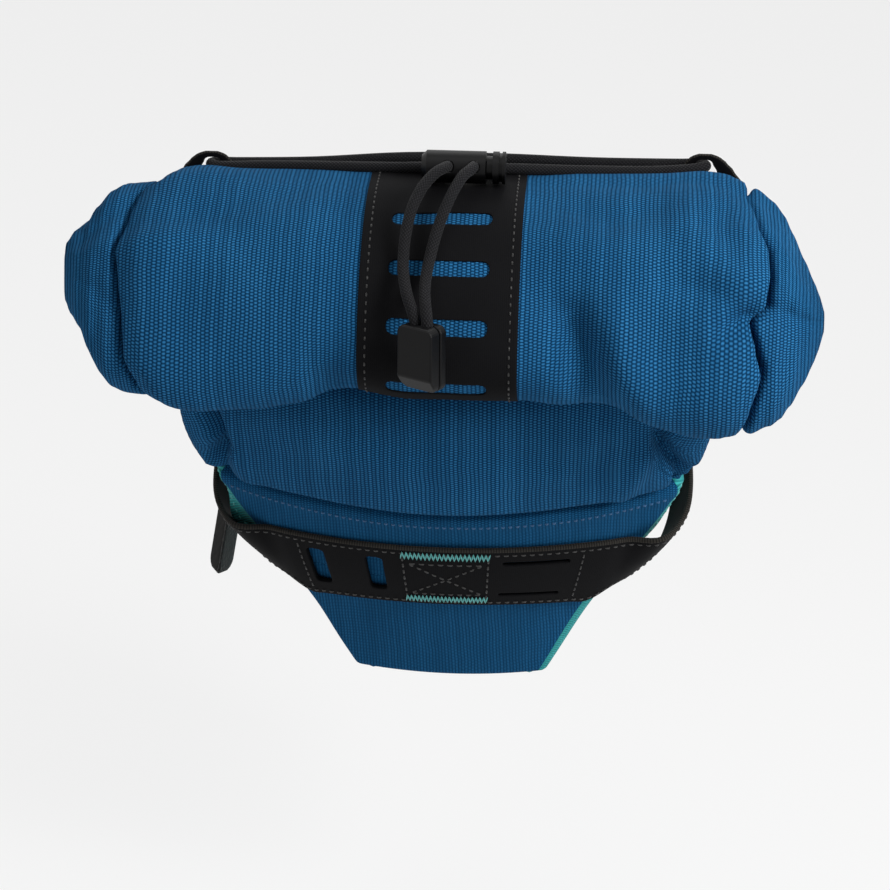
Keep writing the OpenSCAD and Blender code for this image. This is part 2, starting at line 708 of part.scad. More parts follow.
rear_panel();
rear_stiffener();
base_panel();
base_stiffener();
left_side_panel();
right_side_panel();
front_panel();
top_panel();
collar_rear();
collar_left_gusset();
collar_right_gusset();
collar_front();
yoke_strap();
left_rail_strap();
right_rail_strap();
seatpost_strap_loop();
seatpost_strap_hook();
roll_outer_wrap();
roll_inner_turns();
mouth_stiffener();
slotted_patch();
left_cord_tab();
right_cord_tab();
shock_cord();
cord_lock_barrel();
cord_lock_plunger();
cord_lock_spring();
left_cord_tail();
right_cord_tail();
cord_end_body();
cord_end_cover();
strap_tail();
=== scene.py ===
"""Roll-top saddle bag: cloth, straps, cord and stitching around the fixed CAD frame."""
import math

import bmesh
import bpy
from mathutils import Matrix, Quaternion, Vector, noise


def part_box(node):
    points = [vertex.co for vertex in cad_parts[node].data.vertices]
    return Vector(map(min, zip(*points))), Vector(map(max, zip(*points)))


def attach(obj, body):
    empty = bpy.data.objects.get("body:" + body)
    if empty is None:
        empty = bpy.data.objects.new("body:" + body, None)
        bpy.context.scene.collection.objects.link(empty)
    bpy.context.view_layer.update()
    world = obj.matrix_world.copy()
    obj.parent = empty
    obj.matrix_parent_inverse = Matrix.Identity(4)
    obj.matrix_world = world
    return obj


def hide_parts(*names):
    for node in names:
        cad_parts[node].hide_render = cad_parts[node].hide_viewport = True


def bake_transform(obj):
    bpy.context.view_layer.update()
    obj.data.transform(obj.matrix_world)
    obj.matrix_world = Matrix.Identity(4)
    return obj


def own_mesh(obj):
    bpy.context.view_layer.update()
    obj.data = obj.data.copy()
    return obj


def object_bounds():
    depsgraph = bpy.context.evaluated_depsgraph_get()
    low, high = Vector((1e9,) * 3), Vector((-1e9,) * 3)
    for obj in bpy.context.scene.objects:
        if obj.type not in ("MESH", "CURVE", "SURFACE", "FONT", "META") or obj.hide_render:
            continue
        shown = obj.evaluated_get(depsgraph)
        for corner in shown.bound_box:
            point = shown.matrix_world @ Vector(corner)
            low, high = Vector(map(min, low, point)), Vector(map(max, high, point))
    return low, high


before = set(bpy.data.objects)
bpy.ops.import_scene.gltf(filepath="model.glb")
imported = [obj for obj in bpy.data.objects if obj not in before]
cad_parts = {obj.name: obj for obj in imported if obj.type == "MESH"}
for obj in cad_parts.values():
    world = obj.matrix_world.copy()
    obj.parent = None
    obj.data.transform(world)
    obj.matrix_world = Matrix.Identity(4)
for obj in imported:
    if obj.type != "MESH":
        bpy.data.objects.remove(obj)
cad_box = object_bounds()

MM = 0.001


# ---- Numbers and curves, all in millimetres ----

def mix(a, b, t):
    return a + (b - a) * t


def clamp(t):
    return max(0.0, min(1.0, t))


def smooth(t):
    t = clamp(t)
    return t * t * (3 - 2 * t)


def bell(distance, width):
    return math.exp(-(distance / width) ** 2)


def knots(table, x):
    """Smooth value at x through a short table of (x, value)."""
    if x <= table[0][0]:
        return table[0][1]
    for (x0, y0), (x1, y1) in zip(table, table[1:]):
        if x <= x1:
            return mix(y0, y1, smooth((x - x0) / (x1 - x0)) * 0.5 + 0.5 * (x - x0) / (x1 - x0))
    return table[-1][1]


def arc(centre, radius, start, stop, steps):
    angles = [math.radians(mix(start, stop, i / steps)) for i in range(steps + 1)]
    return [(centre[0] + radius * math.cos(a), centre[1] + radius * math.sin(a)) for a in angles]


def spline(points, per_span):
    """Points along a Catmull-Rom curve through the given points."""
    pts = [Vector(p) for p in points]
    ends = [2 * pts[0] - pts[1]] + pts + [2 * pts[-1] - pts[-2]]
    out = []
    for i in range(1, len(ends) - 2):
        a, b, c, d = ends[i - 1:i + 3]
        for k in range(per_span):
            t = k / per_span
            out.append(0.5 * ((2 * b) + (c - a) * t + (2 * a - 5 * b + 4 * c - d) * t * t
                              + (3 * b - a - 3 * c + d) * t ** 3))
    return out + [pts[-1]]


def run_lengths(points):
    """How far along a line of points each of them is."""
    run = [0.0]
    for p, q in zip(points, points[1:]):
        run.append(run[-1] + (q - p).length)
    return run


def resample(points, count):
    """The same open line with evenly spaced points."""
    run = run_lengths(points)
    out, k = [], 0
    for i in range(count):
        want = run[-1] * i / (count - 1)
        while k < len(points) - 2 and run[k + 1] < want:
            k += 1
        out.append(points[k].lerp(points[k + 1], (want - run[k]) / max(run[k + 1] - run[k], 1e-9)))
    return out


def relaxed(points, rounds):
    """A closed line with its corners softened."""
    n = len(points)
    for _ in range(rounds):
        points = [p * 0.5 + (points[i - 1] + points[(i + 1) % n]) * 0.25 for i, p in enumerate(points)]
    return points


def nearest(path, u, v):
    """Distance from (u, v) to a path, and how far along the path the nearest place is, from 0 to 1."""
    best, spot, run = 1e9, 0.0, 0.0
    for (u0, v0), (u1, v1) in zip(path, path[1:]):
        du, dv = u1 - u0, v1 - v0
        span = math.hypot(du, dv)
        t = clamp(((u - u0) * du + (v - v0) * dv) / (span * span))
        off = math.hypot(u - u0 - t * du, v - v0 - t * dv)
        if off < best:
            best, spot = off, run + t * span
        run += span
    return best, spot / run


def fold_height(folds, u, v):
    """Height of the listed ridges (+) and valleys (-) at a place on a cloth surface."""
    total = 0.0
    for path, width, height in folds:
        off, share = nearest(path, u, v)
        if off < 3 * width:
            total += height * bell(off, width) * math.sin(math.pi * mix(0.14, 0.86, share)) ** 0.6
    return total


def ripple(u, v, scale, seed):
    return noise.noise(Vector((u / scale, v / scale, seed)))


# ---- Making meshes ----

SIDE_NAME = {-1: "left", 1: "right"}
WELD_REACH = 0.01
CUT_BEVEL = 0.15
STITCH_SIDES, STITCH_BENDS = 6, 5
# How far a stitch's thread stands up, how deep its ends sink into the cloth, and how thin they are
STITCH_PROUD, STITCH_SINK, STITCH_TAPER = 0.12, 0.55, 0.45


def add_object(name, data):
    obj = bpy.data.objects.new(name, data)
    bpy.context.scene.collection.objects.link(obj)
    return obj


def new_object(name, verts, faces, material, uvs):
    """Smooth mesh from points in millimetres, with one uv for each point."""
    mesh = bpy.data.meshes.new(name)
    mesh.from_pydata([Vector(v) * MM for v in verts], [], faces)
    layer = mesh.uv_layers.new(name="cloth")
    for loop in mesh.loops:
        layer.data[loop.index].uv = uvs[loop.vertex_index]
    mesh.polygons.foreach_set("use_smooth", [True] * len(mesh.polygons))
    mesh.materials.append(material)
    mesh.validate()
    return add_object(name, mesh)


def bevel_edges(obj, width, segments, degrees):
    bevel = obj.modifiers.new("edge", "BEVEL")
    bevel.width = width * MM
    bevel.segments = segments
    bevel.limit_method = "ANGLE"
    bevel.angle_limit = math.radians(degrees)


def thicken(obj, thickness, rim_bevel):
    """Gives a sheet its thickness, inwards from its outer face."""
    solid = obj.modifiers.new("thickness", "SOLIDIFY")
    solid.thickness = thickness * MM
    solid.offset = -1
    if rim_bevel:
        bevel_edges(obj, rim_bevel, 2, 50)
    return obj


def weld(obj):
    """Joins the two edges of a sheet whose rows end where they start."""
    obj.modifiers.new("weld", "WELD").merge_threshold = WELD_REACH * MM


def grid(name, rows, material, uvs, thickness=0.0, turn=False, rim_bevel=0.0):
    """Quad sheet through rows of points; turn makes it face the other way."""
    wide = len(rows[0])
    faces = []
    for r in range(len(rows) - 1):
        for c in range(wide - 1):
            face = (r * wide + c, r * wide + c + 1, (r + 1) * wide + c + 1, (r + 1) * wide + c)
            faces.append(face[::-1] if turn else face)
    flat_uv = [uv for row in uvs for uv in row]
    obj = new_object(name, [p for row in rows for p in row], faces, material, flat_uv)
    if thickness:
        thicken(obj, thickness, rim_bevel)
    return obj


def tube(name, route, radius, material, sides, ends=0.35):
    """Round tube through route, narrowed at its two ends; u runs round it and v along it."""
    pts = [Vector(p) for p in route]
    n = len(pts)
    tangents = [(pts[min(i + 1, n - 1)] - pts[max(i - 1, 0)]).normalized() for i in range(n)]
    side = tangents[0].orthogonal().normalized()
    verts, uvs, run = [], [], 0.0
    for i, (p, t) in enumerate(zip(pts, tangents)):
        side = (side - t * side.dot(t)).normalized()
        other = t.cross(side)
        run += (p - pts[i - 1]).length if i else 0.0
        r = radius * (ends if i in (0, n - 1) else 1.0)
        for k in range(sides):
            a = math.tau * k / sides
            verts.append(p + (side * math.cos(a) + other * math.sin(a)) * r)
            uvs.append((k / sides * math.tau * radius, run))
    faces = []
    for base in range(0, (n - 1) * sides, sides):
        for k in range(sides):
            l = (k + 1) % sides
            faces.append((base + k, base + l, base + sides + l, base + sides + k))
    faces += [tuple(reversed(range(sides))), tuple(range((n - 1) * sides, n * sides))]
    return new_object(name, verts, faces, material, uvs)


def stitches(name, rows, material, length, gap, radius=0.32):
    """Rows of thread: each row is a list of (point, normal) along a seam."""
    verts, faces = [], []
    sides, bends = STITCH_SIDES, STITCH_BENDS
    for row in rows:
        run = run_lengths([p for p, _ in row])
        count = max(1, int(run[-1] / (length + gap)))
        step = run[-1] / count

        def at(want):
            k = 0
            while k < len(run) - 2 and run[k + 1] < want:
                k += 1
            t = (want - run[k]) / max(run[k + 1] - run[k], 1e-9)
            return row[k][0].lerp(row[k + 1][0], t), row[k][1].lerp(row[k + 1][1], t).normalized()

        for i in range(count):
            start = i * step + gap / 2
            spots = [at(start + (step - gap) * b / (bends - 1)) for b in range(bends)]
            axis = (spots[-1][0] - spots[0][0]).normalized()
            base = len(verts)
            for b, (p, n) in enumerate(spots):
                rise = STITCH_PROUD - STITCH_SINK * abs(2 * b / (bends - 1) - 1) ** 3
                across = axis.cross(n).normalized()
                r = radius * (STITCH_TAPER if b in (0, bends - 1) else 1.0)
                for k in range(sides):
                    a = math.tau * k / sides
                    verts.append(p + n * rise + (across * math.cos(a) + n * math.sin(a)) * r)
            for b in range(bends - 1):
                for k in range(sides):
                    l = (k + 1) % sides
                    faces.append((base + b * sides + k, base + b * sides + l,
                                  base + (b + 1) * sides + l, base + (b + 1) * sides + k))
            faces.append(tuple(base + k for k in reversed(range(sides))))
            faces.append(tuple(base + (bends - 1) * sides + k for k in range(sides)))
    return new_object(name, verts, faces, material, [(v[0], v[1]) for v in verts])


def on_outline(u, v, hole):
    """Nearest point of a hole's rounded outline, and whether (u, v) is inside it."""
    cu, cv, w, h, r = hole
    x, y = u - cu, v - cv
    bx, by = w / 2 - r, h / 2 - r
    kx, ky = max(-bx, min(bx, x)), max(-by, min(by, y))
    dx, dy = x - kx, y - ky
    reach = math.hypot(dx, dy)
    if reach < 1e-6:
        if w / 2 - abs(x) <= h / 2 - abs(y):
            return cu + math.copysign(w / 2, x), v, True
        return u, cv + math.copysign(h / 2, y), True
    return cu + kx + dx / reach * r, cv + ky + dy / reach * r, reach < r


def cut_sheet(name, us, vs, holes, place, material, thickness):
    """Sheet with real holes: place(u, v) gives the outer face's point and normal."""
    wide = len(us)
    spots = [(u, v) for v in vs for u in us]

    def dead(u, v):
        return any(on_outline(u, v, hole)[2] for hole in holes)

    def nearest_edge(spot):
        edges = [on_outline(*spot, hole)[:2] for hole in holes]
        return min(edges, key=lambda edge: math.hypot(edge[0] - spot[0], edge[1] - spot[1]))

    cells, gone = [], set()
    for r in range(len(vs) - 1):
        for c in range(wide - 1):
            cell = (r * wide + c, r * wide + c + 1, (r + 1) * wide + c + 1, (r + 1) * wide + c)
            if dead((us[c] + us[c + 1]) / 2, (vs[r] + vs[r + 1]) / 2):
                gone.update(cell)
            else:
                cells.append(cell)
    used = sorted({i for cell in cells for i in cell})
    for i in used:
        if i in gone:
            spots[i] = nearest_edge(spots[i])
    index = {i: k for k, i in enumerate(used)}
    placed = [place(*spots[i]) for i in used]
    faces = [tuple(index[i] for i in cell) for cell in cells]
    obj = new_object(name, [p for p, _ in placed], faces, material, [spots[i] for i in used])
    first = obj.data.polygons[len(obj.data.polygons) // 2]
    if first.normal.dot(placed[faces[first.index][0]][1]) < 0:
        obj.data.flip_normals()
    return thicken(obj, thickness, CUT_BEVEL)


def steps(low, high, size):
    """Evenly spaced values from low to high, about size apart."""
    count = max(1, round((high - low) / size))
    return [mix(low, high, i / count) for i in range(count + 1)]


# ---- Materials ----

def srgb(r, g, b):
    """Linear colour of an sRGB one from 0 to 255."""
    linear = [c / 255 / 12.92 if c <= 10 else ((c / 255 + 0.055) / 1.055) ** 2.4 for c in (r, g, b)]
    return (*linear, 1.0)


class Finish:
    """A material's nodes, with sockets or plain numbers as inputs."""

    def __init__(self, name, roughness, sheen=0.0, sheen_tint=(1, 1, 1, 1), specular=0.5):
        self.material = bpy.data.materials.new(name)
        self.material.use_nodes = True
        self.nodes = self.material.node_tree.nodes
        self.links = self.material.node_tree.links
        self.shader = self.nodes["Principled BSDF"]
        self.set("Roughness", roughness)
        self.set("Sheen Weight", sheen)
        self.set("Sheen Roughness", 0.5)
        self.set("Sheen Tint", sheen_tint)
        self.set("Specular IOR Level", specular)

    def set(self, socket, value):
        self.feed(self.shader, {socket: value})

    def feed(self, node, inputs):
        for key, value in inputs.items():
            if isinstance(value, bpy.types.NodeSocket):
                self.links.new(value, node.inputs[key])
            else:
                node.inputs[key].default_value = value
        return node

    def calc(self, operation, a, b=0.0):
        node = self.nodes.new("ShaderNodeMath")
        node.operation = operation
        return self.feed(node, {0: a, 1: b}).outputs[0]

    def plus(self, a, b):
        return self.calc("ADD", a, b)

    def times(self, a, b):
        return self.calc("MULTIPLY", a, b)

    def over(self, a, b):
        return self.calc("DIVIDE", a, b)

    def uv(self):
        split = self.nodes.new("ShaderNodeSeparateXYZ")
        self.links.new(self.nodes.new("ShaderNodeUVMap").outputs[0], split.inputs[0])
        return split.outputs[0], split.outputs[1]

    def cloud(self, scale, detail):
        place = self.nodes.new("ShaderNodeTexCoord").outputs["Object"]
        node = self.nodes.new("ShaderNodeTexNoise")
        return self.feed(node, {"Vector": place, "Scale": scale, "Detail": detail}).outputs["Fac"]

    def number_noise(self, value):
        node = self.nodes.new("ShaderNodeTexWhiteNoise")
        node.noise_dimensions = "1D"
        return self.feed(node, {"W": value}).outputs["Value"]

    def ramp(self, fac, low, high):
        node = self.nodes.new("ShaderNodeMix")
        node.data_type = "RGBA"
        return self.feed(node, {"Factor": fac, 6: low, 7: high}).outputs[2]

    def bump(self, height, depth, strength):
        node = self.nodes.new("ShaderNodeBump")
        return self.feed(node, {"Height": height, "Distance": depth * MM, "Strength": strength}).outputs[0]

    def wave(self, value):
        """One rounded ridge for each whole number."""
        return self.calc("SINE", self.times(self.calc("FRACT", value), math.pi))


def weave(name, gap_shade_colour, mid_colour, pick_highlight_colour, rib=1.34, pick=0.94, depth=0.3):
    """Ballistic cloth: rows of raised picks, staggered from one upright rib to the next."""
    f = Finish(name, 0.86, sheen=0.04, sheen_tint=srgb(120, 170, 215), specular=0.05)
    u, v = f.uv()
    sway = f.times(f.calc("SUBTRACT", f.cloud(70, 2), 0.5), 0.9)
    ribs = f.plus(f.over(u, rib), sway)
    column = f.calc("FLOOR", ribs)
    lean = f.times(f.calc("SUBTRACT", f.cloud(110, 1), 0.5), 0.8)
    stagger = f.times(f.calc("PINGPONG", column, 1.0), 0.5)
    picks = f.plus(f.plus(f.over(v, pick), stagger), lean)
    ridge = f.calc("POWER", f.wave(ribs), 0.32)
    dot = f.wave(picks)
    height = f.times(ridge, f.plus(0.36, f.times(dot, 0.64)))
    thread = f.plus(f.times(f.number_noise(column), 0.12), 0.94)
    worn = f.plus(f.times(f.cloud(28, 3), 0.3), 0.85)
    tone = f.times(height, f.times(thread, worn))
    # Colour follows the weave's height: painted shade darkens the gaps between ribs and picks, and a painted
    # highlight lightens the picks' tops.
    body = f.ramp(f.calc("POWER", tone, 1.1), gap_shade_colour, mid_colour)
    f.set("Base Color", f.ramp(f.calc("POWER", tone, 4.0), body, pick_highlight_colour))
    f.set("Normal", f.bump(height, depth, 0.75))
    return f.material


def ribbed(name, low_colour, high_colour, pitch, depth, roughness, cross=0.0, sheen=0.1):
    """Webbing or grosgrain: ribs across v, crossed by finer warp threads."""
    f = Finish(name, roughness, sheen=sheen, specular=0.1)
    u, v = f.uv()
    bars = f.wave(f.over(v, pitch))
    warp = f.wave(f.over(u, cross or pitch * 0.45))
    height = f.plus(f.times(bars, 0.75), f.times(warp, 0.25))
    patchy = f.plus(0.7, f.times(f.cloud(60, 3), 0.6))
    # Colour follows the ribs' height: the grooves are painted shade and the ribs' tops a painted highlight;
    # patchy is tone that differs at random.
    tone = f.times(f.calc("POWER", height, 1.6), patchy)
    f.set("Base Color", f.ramp(tone, low_colour, high_colour))
    f.set("Normal", f.bump(height, depth, 0.8))
    return f.material


def laminate(name, low_colour, high_colour, roughness):
    """Coated sheet over a fine upright rib, scuffed a little."""
    f = Finish(name, roughness, specular=0.04)
    rib = f.wave(f.over(f.uv()[0], 0.62))
    grain = f.cloud(2600, 2)
    scuff = f.cloud(45, 4)
    # The scuffs are tone that differs at random; the rib's share lightens its tops as a painted highlight.
    tone = f.plus(f.times(scuff, 0.6), f.times(rib, 0.35))
    f.set("Base Color", f.ramp(tone, low_colour, high_colour))
    f.set("Roughness", f.plus(roughness - 0.1, f.times(scuff, 0.2)))
    f.set("Normal", f.bump(f.plus(f.times(rib, 0.5), grain), 0.06, 0.6))
    return f.material


def braid(name, low_colour, high_colour):
    """Woven cover of an elastic cord: two sets of slanting strands."""
    f = Finish(name, 0.66, sheen=0.05, specular=0.08)
    u, v = f.uv()
    round_it, along_it = f.over(u, 1.05), f.over(v, 1.25)
    right = f.wave(f.plus(round_it, along_it))
    left = f.wave(f.calc("SUBTRACT", round_it, along_it))
    height = f.calc("MAXIMUM", f.times(right, left), f.times(f.plus(right, left), 0.35))
    # Colour follows the strands' height: the crossings are painted highlight and the hollows between strands
    # are painted shade.
    f.set("Base Color", f.ramp(f.calc("POWER", height, 1.5), low_colour, high_colour))
    f.set("Normal", f.bump(height, 0.25, 0.9))
    return f.material


def moulded(name, colour, light, roughness):
    """Moulded plastic with a fine spark-eroded grain."""
    f = Finish(name, roughness, specular=0.16)
    grain = f.cloud(1800, 3)
    f.set("Base Color", f.ramp(f.cloud(120, 3), colour, light))
    f.set("Roughness", f.plus(roughness - 0.08, f.times(grain, 0.16)))
    f.set("Normal", f.bump(grain, 0.05, 0.5))
    return f.material


def thread(name, colour, light):
    """Twisted sewing thread."""
    f = Finish(name, 0.5, sheen=0.2, specular=0.4)
    u, v = f.uv()
    twist = f.wave(f.times(f.plus(u, v), 2.2))
    # Colour follows the twist's ridges: a painted highlight along each ridge and painted shade between them.
    f.set("Base Color", f.ramp(twist, colour, light))
    f.set("Normal", f.bump(twist, 0.08, 0.6))
    return f.material


def fuzzy(name, colour, light):
    """Loop side of hook and loop tape."""
    f = Finish(name, 0.95, sheen=0.5, specular=0.1)
    loops = f.cloud(1500, 4)
    f.set("Base Color", f.ramp(loops, colour, light))
    f.set("Normal", f.bump(loops, 0.6, 1.0))
    return f.material


def steel(name):
    f = Finish(name, 0.3)
    f.set("Metallic", 1.0)
    f.set("Base Color", f.ramp(f.cloud(900, 2), srgb(150, 150, 152), srgb(205, 205, 206)))
    return f.material


# Each weave's first colour is painted shade for its gaps, and its last colour is a painted highlight for its
# picks' tops.
BLUE = weave("ballistic_blue", srgb(3, 30, 56), srgb(15, 73, 117), srgb(50, 124, 178))
FINE_BLUE = weave("fine_blue", srgb(7, 45, 76), srgb(15, 74, 114), srgb(36, 104, 154),
                  rib=1.12, pick=0.8, depth=0.2)
# The teal rib's low colour is painted shade in its grooves, and its high colour is a painted highlight on its
# ribs.
TEAL = ribbed("ribbed_teal", srgb(16, 104, 110), srgb(64, 190, 190), 1.1, 0.25, 0.8, cross=0.55)
# The coated sheets' high colours are partly random scuffs and partly a painted highlight on the fine ribs.
BLACK = laminate("coated_black", srgb(10, 10, 11), srgb(24, 24, 26), 0.66)
LINER = laminate("coated_lining", srgb(10, 10, 12), srgb(24, 24, 27), 0.7)
# The webbing's and edge tape's low colours are painted shade in their grooves, and their high colours are
# painted highlights on their ribs.
WEBBING = ribbed("webbing_black", srgb(8, 8, 9), srgb(52, 51, 50), 1.5, 0.35, 0.8, sheen=0.03)
EDGE = ribbed("edge_tape", srgb(10, 10, 10), srgb(58, 55, 51), 0.9, 0.2, 0.75, sheen=0.03)
LOOP = fuzzy("loop_black", srgb(9, 9, 10), srgb(40, 39, 39))
# The cord's high colour is a painted highlight on its strands, and its low colour is painted shade between
# them.
CORD = braid("cord_black", srgb(6, 6, 7), srgb(42, 42, 45))
PLASTIC = moulded("plastic_black", srgb(3, 3, 4), srgb(8, 8, 9), 0.38)
SHEET = moulded("plastic_sheet", srgb(96, 96, 98), srgb(128, 128, 130), 0.6)
# Each thread's light colour is a painted highlight along its twist.
THREAD_BLACK = thread("thread_black", srgb(8, 8, 8), srgb(38, 37, 36))
THREAD_BLUE = thread("thread_blue", srgb(14, 62, 104), srgb(44, 106, 156))
THREAD_TEAL = thread("thread_teal", srgb(44, 148, 150), srgb(118, 206, 202))
STEEL = steel("spring_steel")


def give(node, material):
    """The finish of a CAD node that stays."""
    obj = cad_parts[node]
    obj.data.materials.clear()
    obj.data.materials.append(material)


def worn(piece, body, slot, *nodes):
    """A finished piece: what it rides on, its slot, which is not used, and the CAD nodes it stands for."""
    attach(piece, body)
    if nodes:
        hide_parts(*nodes)
    return piece


# ---- Camera, light and floor, in metres ----

TARGET = Vector((0, -0.170, 0.0423))
VIEW_AZIMUTH, VIEW_ELEVATION, VIEW_ROLL, VIEW_DISTANCE = 3.7, 19.9, 0.6, 1.045
LENS, SENSOR = 129.0, 36
# Name, azimuth, elevation, distance, size and power of each lamp
LAMPS = [("key", 56, 34, 0.85, 0.34, 6.2), ("top_fill", -20, 70, 1.2, 0.7, 1.5),
         ("left_fill", -66, 20, 1.5, 0.7, 1.9), ("behind", 180, 55, 1.6, 0.9, 3)]
WORLD_LIGHT = 0.19
FLOOR_DROP, FLOOR_HALF = 0.11, 4.0
FLOOR_COLOUR, FLOOR_ROUGHNESS = (0.88, 0.88, 0.88, 1), 0.9
# Share of plain white in the floor where it is seen directly
FLOOR_GLOW = 0.8


def look_from(azimuth, elevation, distance):
    a, e = math.radians(azimuth), math.radians(elevation)
    return TARGET + Vector((math.sin(a) * math.cos(e), -math.cos(a) * math.cos(e), math.sin(e))) * distance


def make_camera():
    data = bpy.data.cameras.new("camera")
    data.lens = LENS
    data.sensor_width = SENSOR
    camera = add_object("camera", data)
    camera.location = look_from(VIEW_AZIMUTH, VIEW_ELEVATION, VIEW_DISTANCE)
    aim = (TARGET - camera.location).to_track_quat("-Z", "Y")
    camera.rotation_mode = "QUATERNION"
    camera.rotation_quaternion = aim @ Quaternion((0, 0, 1), math.radians(VIEW_ROLL))
    bpy.context.scene.camera = camera


def area_light(name, azimuth, elevation, distance, size, power):
    data = bpy.data.lights.new(name, "AREA")
    data.size = size
    data.energy = power
    lamp = add_object(name, data)
    lamp.location = look_from(azimuth, elevation, distance)
    lamp.rotation_euler = (TARGET - lamp.location).to_track_quat("-Z", "Y").to_euler()


def seen_directly(nodes, links):
    """1 for rays that show the background itself: camera, glossy and transmission rays."""
    path = nodes.new("ShaderNodeLightPath")
    share = path.outputs["Is Camera Ray"]
    for name in ("Is Glossy Ray", "Is Transmission Ray"):
        either = nodes.new("ShaderNodeMath")
        either.operation = "MAXIMUM"
        links.new(share, either.inputs[0])
        links.new(path.outputs[name], either.inputs[1])
        share = either.outputs[0]
    return share


def make_lights():
    for lamp in LAMPS:
        area_light(*lamp)
    world = bpy.data.worlds.new("studio")
    bpy.context.scene.world = world
    world.use_nodes = True
    nodes, links = world.node_tree.nodes, world.node_tree.links
    background = nodes["Background"]
    background.inputs["Color"].default_value = (1, 1, 1, 1)
    strength = nodes.new("ShaderNodeMapRange")
    strength.inputs["To Min"].default_value = WORLD_LIGHT
    strength.inputs["To Max"].default_value = 1.0
    links.new(seen_directly(nodes, links), strength.inputs["Value"])
    links.new(strength.outputs["Result"], background.inputs["Strength"])


def make_floor():
    low = cad_box[0][2] - FLOOR_DROP
    corners = [(x * FLOOR_HALF, y * FLOOR_HALF, low) for x, y in ((-1, -1), (1, -1), (1, 1), (-1, 1))]
    mesh = bpy.data.meshes.new("floor")
    mesh.from_pydata(corners, [], [(0, 1, 2, 3)])
    floor = add_object("floor", mesh)
    material = bpy.data.materials.new("floor")
    material.use_nodes = True
    nodes, links = material.node_tree.nodes, material.node_tree.links
    shader = nodes["Principled BSDF"]
    shader.inputs["Base Color"].default_value = FLOOR_COLOUR
    shader.inputs["Roughness"].default_value = FLOOR_ROUGHNESS
    glow = nodes.new("ShaderNodeEmission")
    blend = nodes.new("ShaderNodeMixShader")
    share = nodes.new("ShaderNodeMath")
    share.operation = "MULTIPLY"
    share.inputs[1].default_value = FLOOR_GLOW
    links.new(seen_directly(nodes, links), share.inputs[0])
    links.new(share.outputs[0], blend.inputs[0])
    links.new(shader.outputs[0], blend.inputs[1])
    links.new(glow.outputs[0], blend.inputs[2])
    links.new(blend.outputs[0], nodes["Material Output"].inputs["Surface"])
    mesh.materials.append(material)


bpy.context.scene.view_settings.view_transform = "Standard"
make_camera()
make_lights()
make_floor()

# ---- Elastic cord, lock and tails, on the routes the CAD model has ----

CORD_R, CORD_SIDES, CORD_ENDS = 1.8, 16, 0.9
LOCK = Vector((-8.2, -170.5, 136.5))
LOCK_TILT = math.radians(15)
HOLE_X = (8.4, 16.6)


def lock_point(x, out):
    """Point on the axis of the lock's hole at x, so far out of the lock's middle."""
    return (LOCK.x + x, LOCK.y - out * math.cos(LOCK_TILT), LOCK.z + out * math.sin(LOCK_TILT))


LOOP_ROUTE = [
    lock_point(HOLE_X[0], 4.9), lock_point(HOLE_X[0], 0), lock_point(HOLE_X[0], -6), (-2.5, -161.5, 134),
    (-8, -160, 133.3), (-20, -159, 132.6), (-40, -156, 131.6), (-60, -152.5, 130.3), (-71, -151, 129.4),
    (-76.5, -149.6, 129), (-78.8, -147.6, 129), (-78.5, -145.3, 129), (-75.5, -143.2, 128.7),
    (-69, -142, 128.4), (-45, -141.5, 129.2), (-15, -141.5, 131.5), (15, -141.5, 131.9), (45, -141.5, 131.4),
    (72, -142, 131.8), (78.5, -143.2, 132.4), (81.5, -145.3, 132.7), (81.8, -147.6, 132.7),
    (79.5, -149.6, 132.6), (74, -151, 132.2), (62, -152.5, 131.8), (40, -155.5, 132.3), (25, -158, 133), (16, -159.5, 133.4),
    (11, -161, 134), lock_point(HOLE_X[1], -6), lock_point(HOLE_X[1], 0), lock_point(HOLE_X[1], 4.9)]
LEFT_TAIL = [
    lock_point(HOLE_X[0], 5.6), lock_point(HOLE_X[0], 6.4), lock_point(HOLE_X[0], 7.6), (-0.9, -181, 138.6),
    (-3.2, -185, 138), (-6.8, -190, 134.5), (-9.6, -195.5, 129), (-10.9, -201, 122.5), (-11.2, -206, 116.2),
    (-10.8, -210.4, 112.6), (-9.9, -214.4, 109.8), (-8.7, -218.2, 107), (-7.2, -221.2, 104.2),
    (-6.2, -222.7, 101.4), (-5.85, -223, 98.6), (-5.85, -223, 95)]
RIGHT_TAIL = [
    lock_point(HOLE_X[1], 5.6), lock_point(HOLE_X[1], 6.4), lock_point(HOLE_X[1], 7.6), (7.6, -181, 138.3),
    (5.6, -185, 137.3), (3.2, -190, 134), (0.5, -195.5, 128.5), (-1.7, -201, 122), (-3.2, -206.5, 115.6),
    (-3.8, -211, 111.8), (-3.8, -215.4, 109), (-3.4, -219.3, 106.8), (-2.8, -222.7, 104.5),
    (-2.35, -224.7, 101.8), (-2.15, -225.4, 98.8), (-2.15, -225.4, 95)]


END_C = Vector((-4, -224.2, 90.3))
END_TURN = math.radians(-33)
END_W, END_D, END_H, END_CORNER, END_CHAMFER = 13.2, 8.0, 21.0, 2.6, 4.5
END_SPLIT, END_SEAM = 0.6, 0.3
END_SLOPE = Vector((0, -1, -0.7)).normalized()


